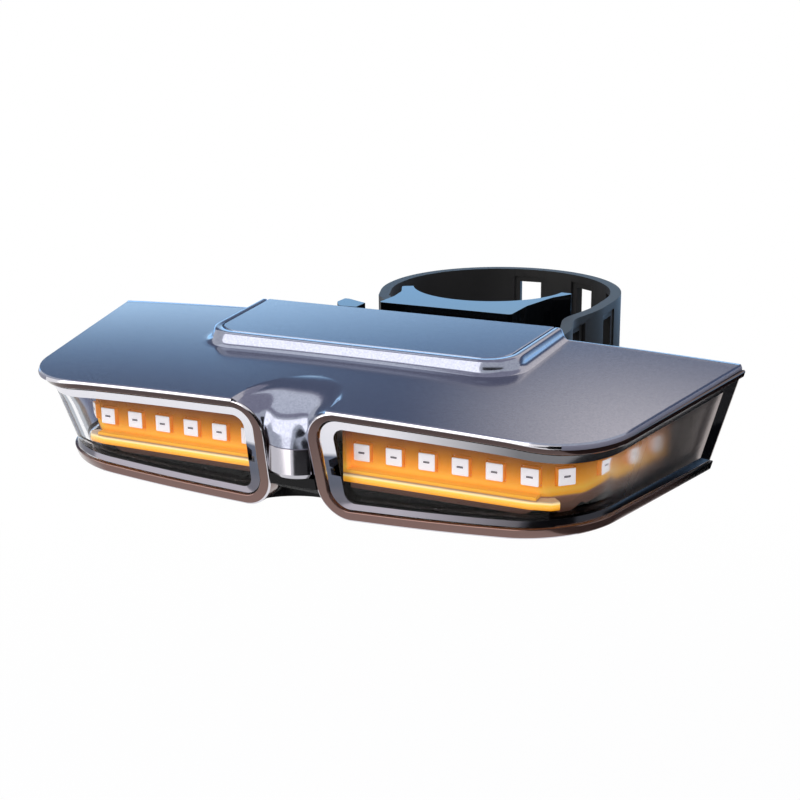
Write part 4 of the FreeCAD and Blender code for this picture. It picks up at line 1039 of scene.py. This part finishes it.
def setCamera():
    c = camera
    a, e, r = (math.radians(c[k]) for k in ("turn", "tilt", "roll"))
    right = Vector((math.cos(a), math.sin(a), 0))
    ahead = Vector((-math.sin(a) * math.cos(e), math.cos(a) * math.cos(e), -math.sin(e)))
    up = right.cross(ahead)
    side = right * math.cos(r) + up * math.sin(r)
    over = up * math.cos(r) - right * math.sin(r)
    data = bpy.data.cameras.new("camera")
    data.sensor_width = c["sensor"]
    data.lens = c["sensor"] * c["focal"] / c["image"]
    data.clip_start = 0.01
    data.clip_end = 20
    holder = newObject("camera", data)
    turned = Matrix((side, over, -ahead)).transposed().to_4x4()
    holder.matrix_world = Matrix.Translation(Vector(c["place"]) * mm) @ turned
    bpy.context.scene.camera = holder


def seenRays(tree):
    # 1 for what the camera sees, straight, mirrored or through glass
    path = addNode(tree, "ShaderNodeLightPath").outputs
    direct = calc(tree, "MAXIMUM", path["Is Camera Ray"], path["Is Transmission Ray"])
    return calc(tree, "MAXIMUM", direct, path["Is Glossy Ray"])


def setWorld():
    world = bpy.data.worlds.new("studio")
    bpy.context.scene.world = world
    world.use_nodes = True
    tree = world.node_tree
    tree.nodes.clear()
    room, white = (output(tree, "ShaderNodeBackground", {"Color": color, "Strength": strength})
                   for color, strength in ((srgb("#f2f3f6"), 0.7), (srgb("#ffffff"), 1.0)))
    addNode(tree, "ShaderNodeOutputWorld", {
        "Surface": mixShaders(tree, seenRays(tree), room, white)})


def softbox(name, place, aim, size, power, color="#ffffff"):
    data = bpy.data.lights.new(name, "AREA")
    data.shape = "RECTANGLE"
    data.size, data.size_y = size[0] * mm, size[1] * mm
    data.energy = power
    data.color = srgb(color)[:3]
    holder = newObject(name, data)
    holder.location = Vector(place) * mm
    ahead = Vector(aim) * mm - holder.location
    holder.rotation_euler = ahead.to_track_quat("-Z", "Y").to_euler()
    holder.visible_glossy = False  # the cards are what the gloss shows


def stagePlane(name, corners):
    mesh = bpy.data.meshes.new(name)
    mesh.from_pydata([tuple(c * mm for c in p) for p in corners], [], [(0, 1, 2, 3)])
    piece = newObject(name, mesh)
    return piece


def upright(x0, y0, x1, y1, low, high):
    return [(x0, y0, low), (x1, y1, low), (x1, y1, high), (x0, y0, high)]


def level(x0, y0, x1, y1, z):
    return [(x0, y0, z), (x1, y0, z), (x1, y1, z), (x0, y1, z)]


def makeFloor():
    # white paper: it keeps the soft shadow and fades to the white of the room further out
    depth, size = -150.0, 3000.0
    floor = stagePlane("floor", level(-size, -size, size, size, depth))
    material, tree, shader = newMaterial("white paper floor", "#f4f4f4", Roughness=0.9)
    away = addNode(tree, "ShaderNodeVectorMath", {0: objectPlace(tree), 1: (0, 0, depth * mm)},
                   operation="DISTANCE").outputs["Value"]
    share = calc(tree, "MULTIPLY", seenRays(tree), ranged(tree, away, 0.05, 0.35, 0.9, 1.0))
    glow = output(tree, "ShaderNodeEmission", {"Color": srgb("#ffffff"), "Strength": 1.0})
    feed(tree.nodes["Material Output"],
         Surface=mixShaders(tree, share, shader.outputs["BSDF"], glow))
    floor.data.materials.append(material)


def reflectorCard(name, corners, color, strength=1.0):
    # studio card that only the gloss shows
    piece = stagePlane(name, corners)
    for ray in ("camera", "diffuse", "transmission", "shadow"):
        setattr(piece, "visible_" + ray, False)
    material = bpy.data.materials.new(name + " paper")
    material.use_nodes = True
    tree = material.node_tree
    tree.nodes.clear()
    glow = addNode(tree, "ShaderNodeEmission", {"Color": srgb(color), "Strength": strength})
    addNode(tree, "ShaderNodeOutputMaterial", {"Surface": glow.outputs[0]})
    piece.data.materials.append(material)
    return piece, glow


def stopsRamp(tree, value, stops):
    # a ramp whose stops are places in millimetres
    low, high = stops[0][0], stops[-1][0]
    share = ranged(tree, value, low * mm, high * mm)
    return rampNode(tree, share, [((at - low) / (high - low), code) for at, code in stops])


skyStops = [(80, "#9bceff"), (87, "#a6d2f8"), (92, "#c2e0f2"), (100, "#b9d7e6"), (105, "#a2bdd3"),
            (112.5, "#88a4bb"), (119, "#6e89a3"), (126, "#59728e"), (133, "#4d6179"),
            (140, "#485369"), (150, "#485063")]
throughStops = [(-222, "#b6bcc2"), (-204, "#6e6c6a"), (-178, "#6c5b54"), (-166, "#8f9bb0"),
                (-150, "#46557a"), (-120, "#343c52")]
skyMiddle = -190.0
warmGlow = "#c8bcac"


def shadeBackCard(glow):
    # blue light low down that darkens upwards, and a warm lamp's glow at the upper right
    tree = glow.id_data
    parts = axes(tree)
    off = calc(tree, "SUBTRACT", parts["X"], skyMiddle * mm)
    bend = calc(tree, "MAXIMUM", calc(tree, "MULTIPLY", off, -0.13),
                calc(tree, "MULTIPLY", off, 0.17))
    sky = stopsRamp(tree, calc(tree, "ADD", bend, parts["Z"]), skyStops)
    warm = calc(tree, "MULTIPLY", axisShare(tree, "X", -125, -20, interpolation_type="SMOOTHSTEP"),
                axisShare(tree, "Z", 114, 146))
    feed(glow, Color=mixed(tree, warm, sky, srgb(warmGlow), "ADD"))


def shadeThroughCard(glow):
    # slanted bands that show through the left lens end
    tree = glow.id_data
    parts = axes(tree)
    across = calc(tree, "ADD", parts["X"], calc(tree, "MULTIPLY", parts["Z"], 0.25))
    feed(glow, Color=stopsRamp(tree, across, throughStops))


setCamera()
setWorld()
makeFloor()
cards = dict(  # corners, colour and strength
    backCard=(upright(-620, 200, 420, 200, -40, 330), "#808080", 2.0),
    frontCard=(upright(-620, -410, -30, -410, -130, 450), "#fffaf4", 3.1),
    ceilingCard=(level(-500, -320, 500, 450, 450), "#bcb7c4"),
    throughCard=(upright(-330, 60, -60, 60, -149, -10), "#6e6a6c"),
    frontFlag=(upright(30, -410, 420, -250, -149, 160), "#101012"),
    ceilingCardLeft=(level(-500, -200, -170, 250, 448), "#ffffff", 1.35),
    floorFlagRight=(level(80, -250, 520, 420, -120), "#101012"),
    floorFlagBack=(level(-200, 50, -20, 250, -120), "#101012"),
)
made = {name: reflectorCard(name, *values) for name, values in cards.items()}
shadeBackCard(made["backCard"][1])
throughCard, glow = made["throughCard"]
throughCard.visible_glossy = False
throughCard.visible_transmission = True
shadeThroughCard(glow)
turns = np.radians(np.linspace(5, 150, 11))
ring = 260 * np.stack([np.cos(turns), np.sin(turns)], -1)  # low dark flags stand in a ring behind
for k, (start, end) in enumerate(zip(ring, ring[1:])):
    reflectorCard("lowFlag%d" % k, upright(*start, *end, -149, -8), "#08080a")
softbox("keyBox", (-150, -420, 330), (0, -60, 0), (260, 200), 0.9)
softbox("topBox", (60, -60, 420), (0, -50, 0), (420, 260), 1.2, "#f6f2ff")
scene = bpy.context.scene
scene.view_settings.view_transform = "Standard"
print("stage: studio")
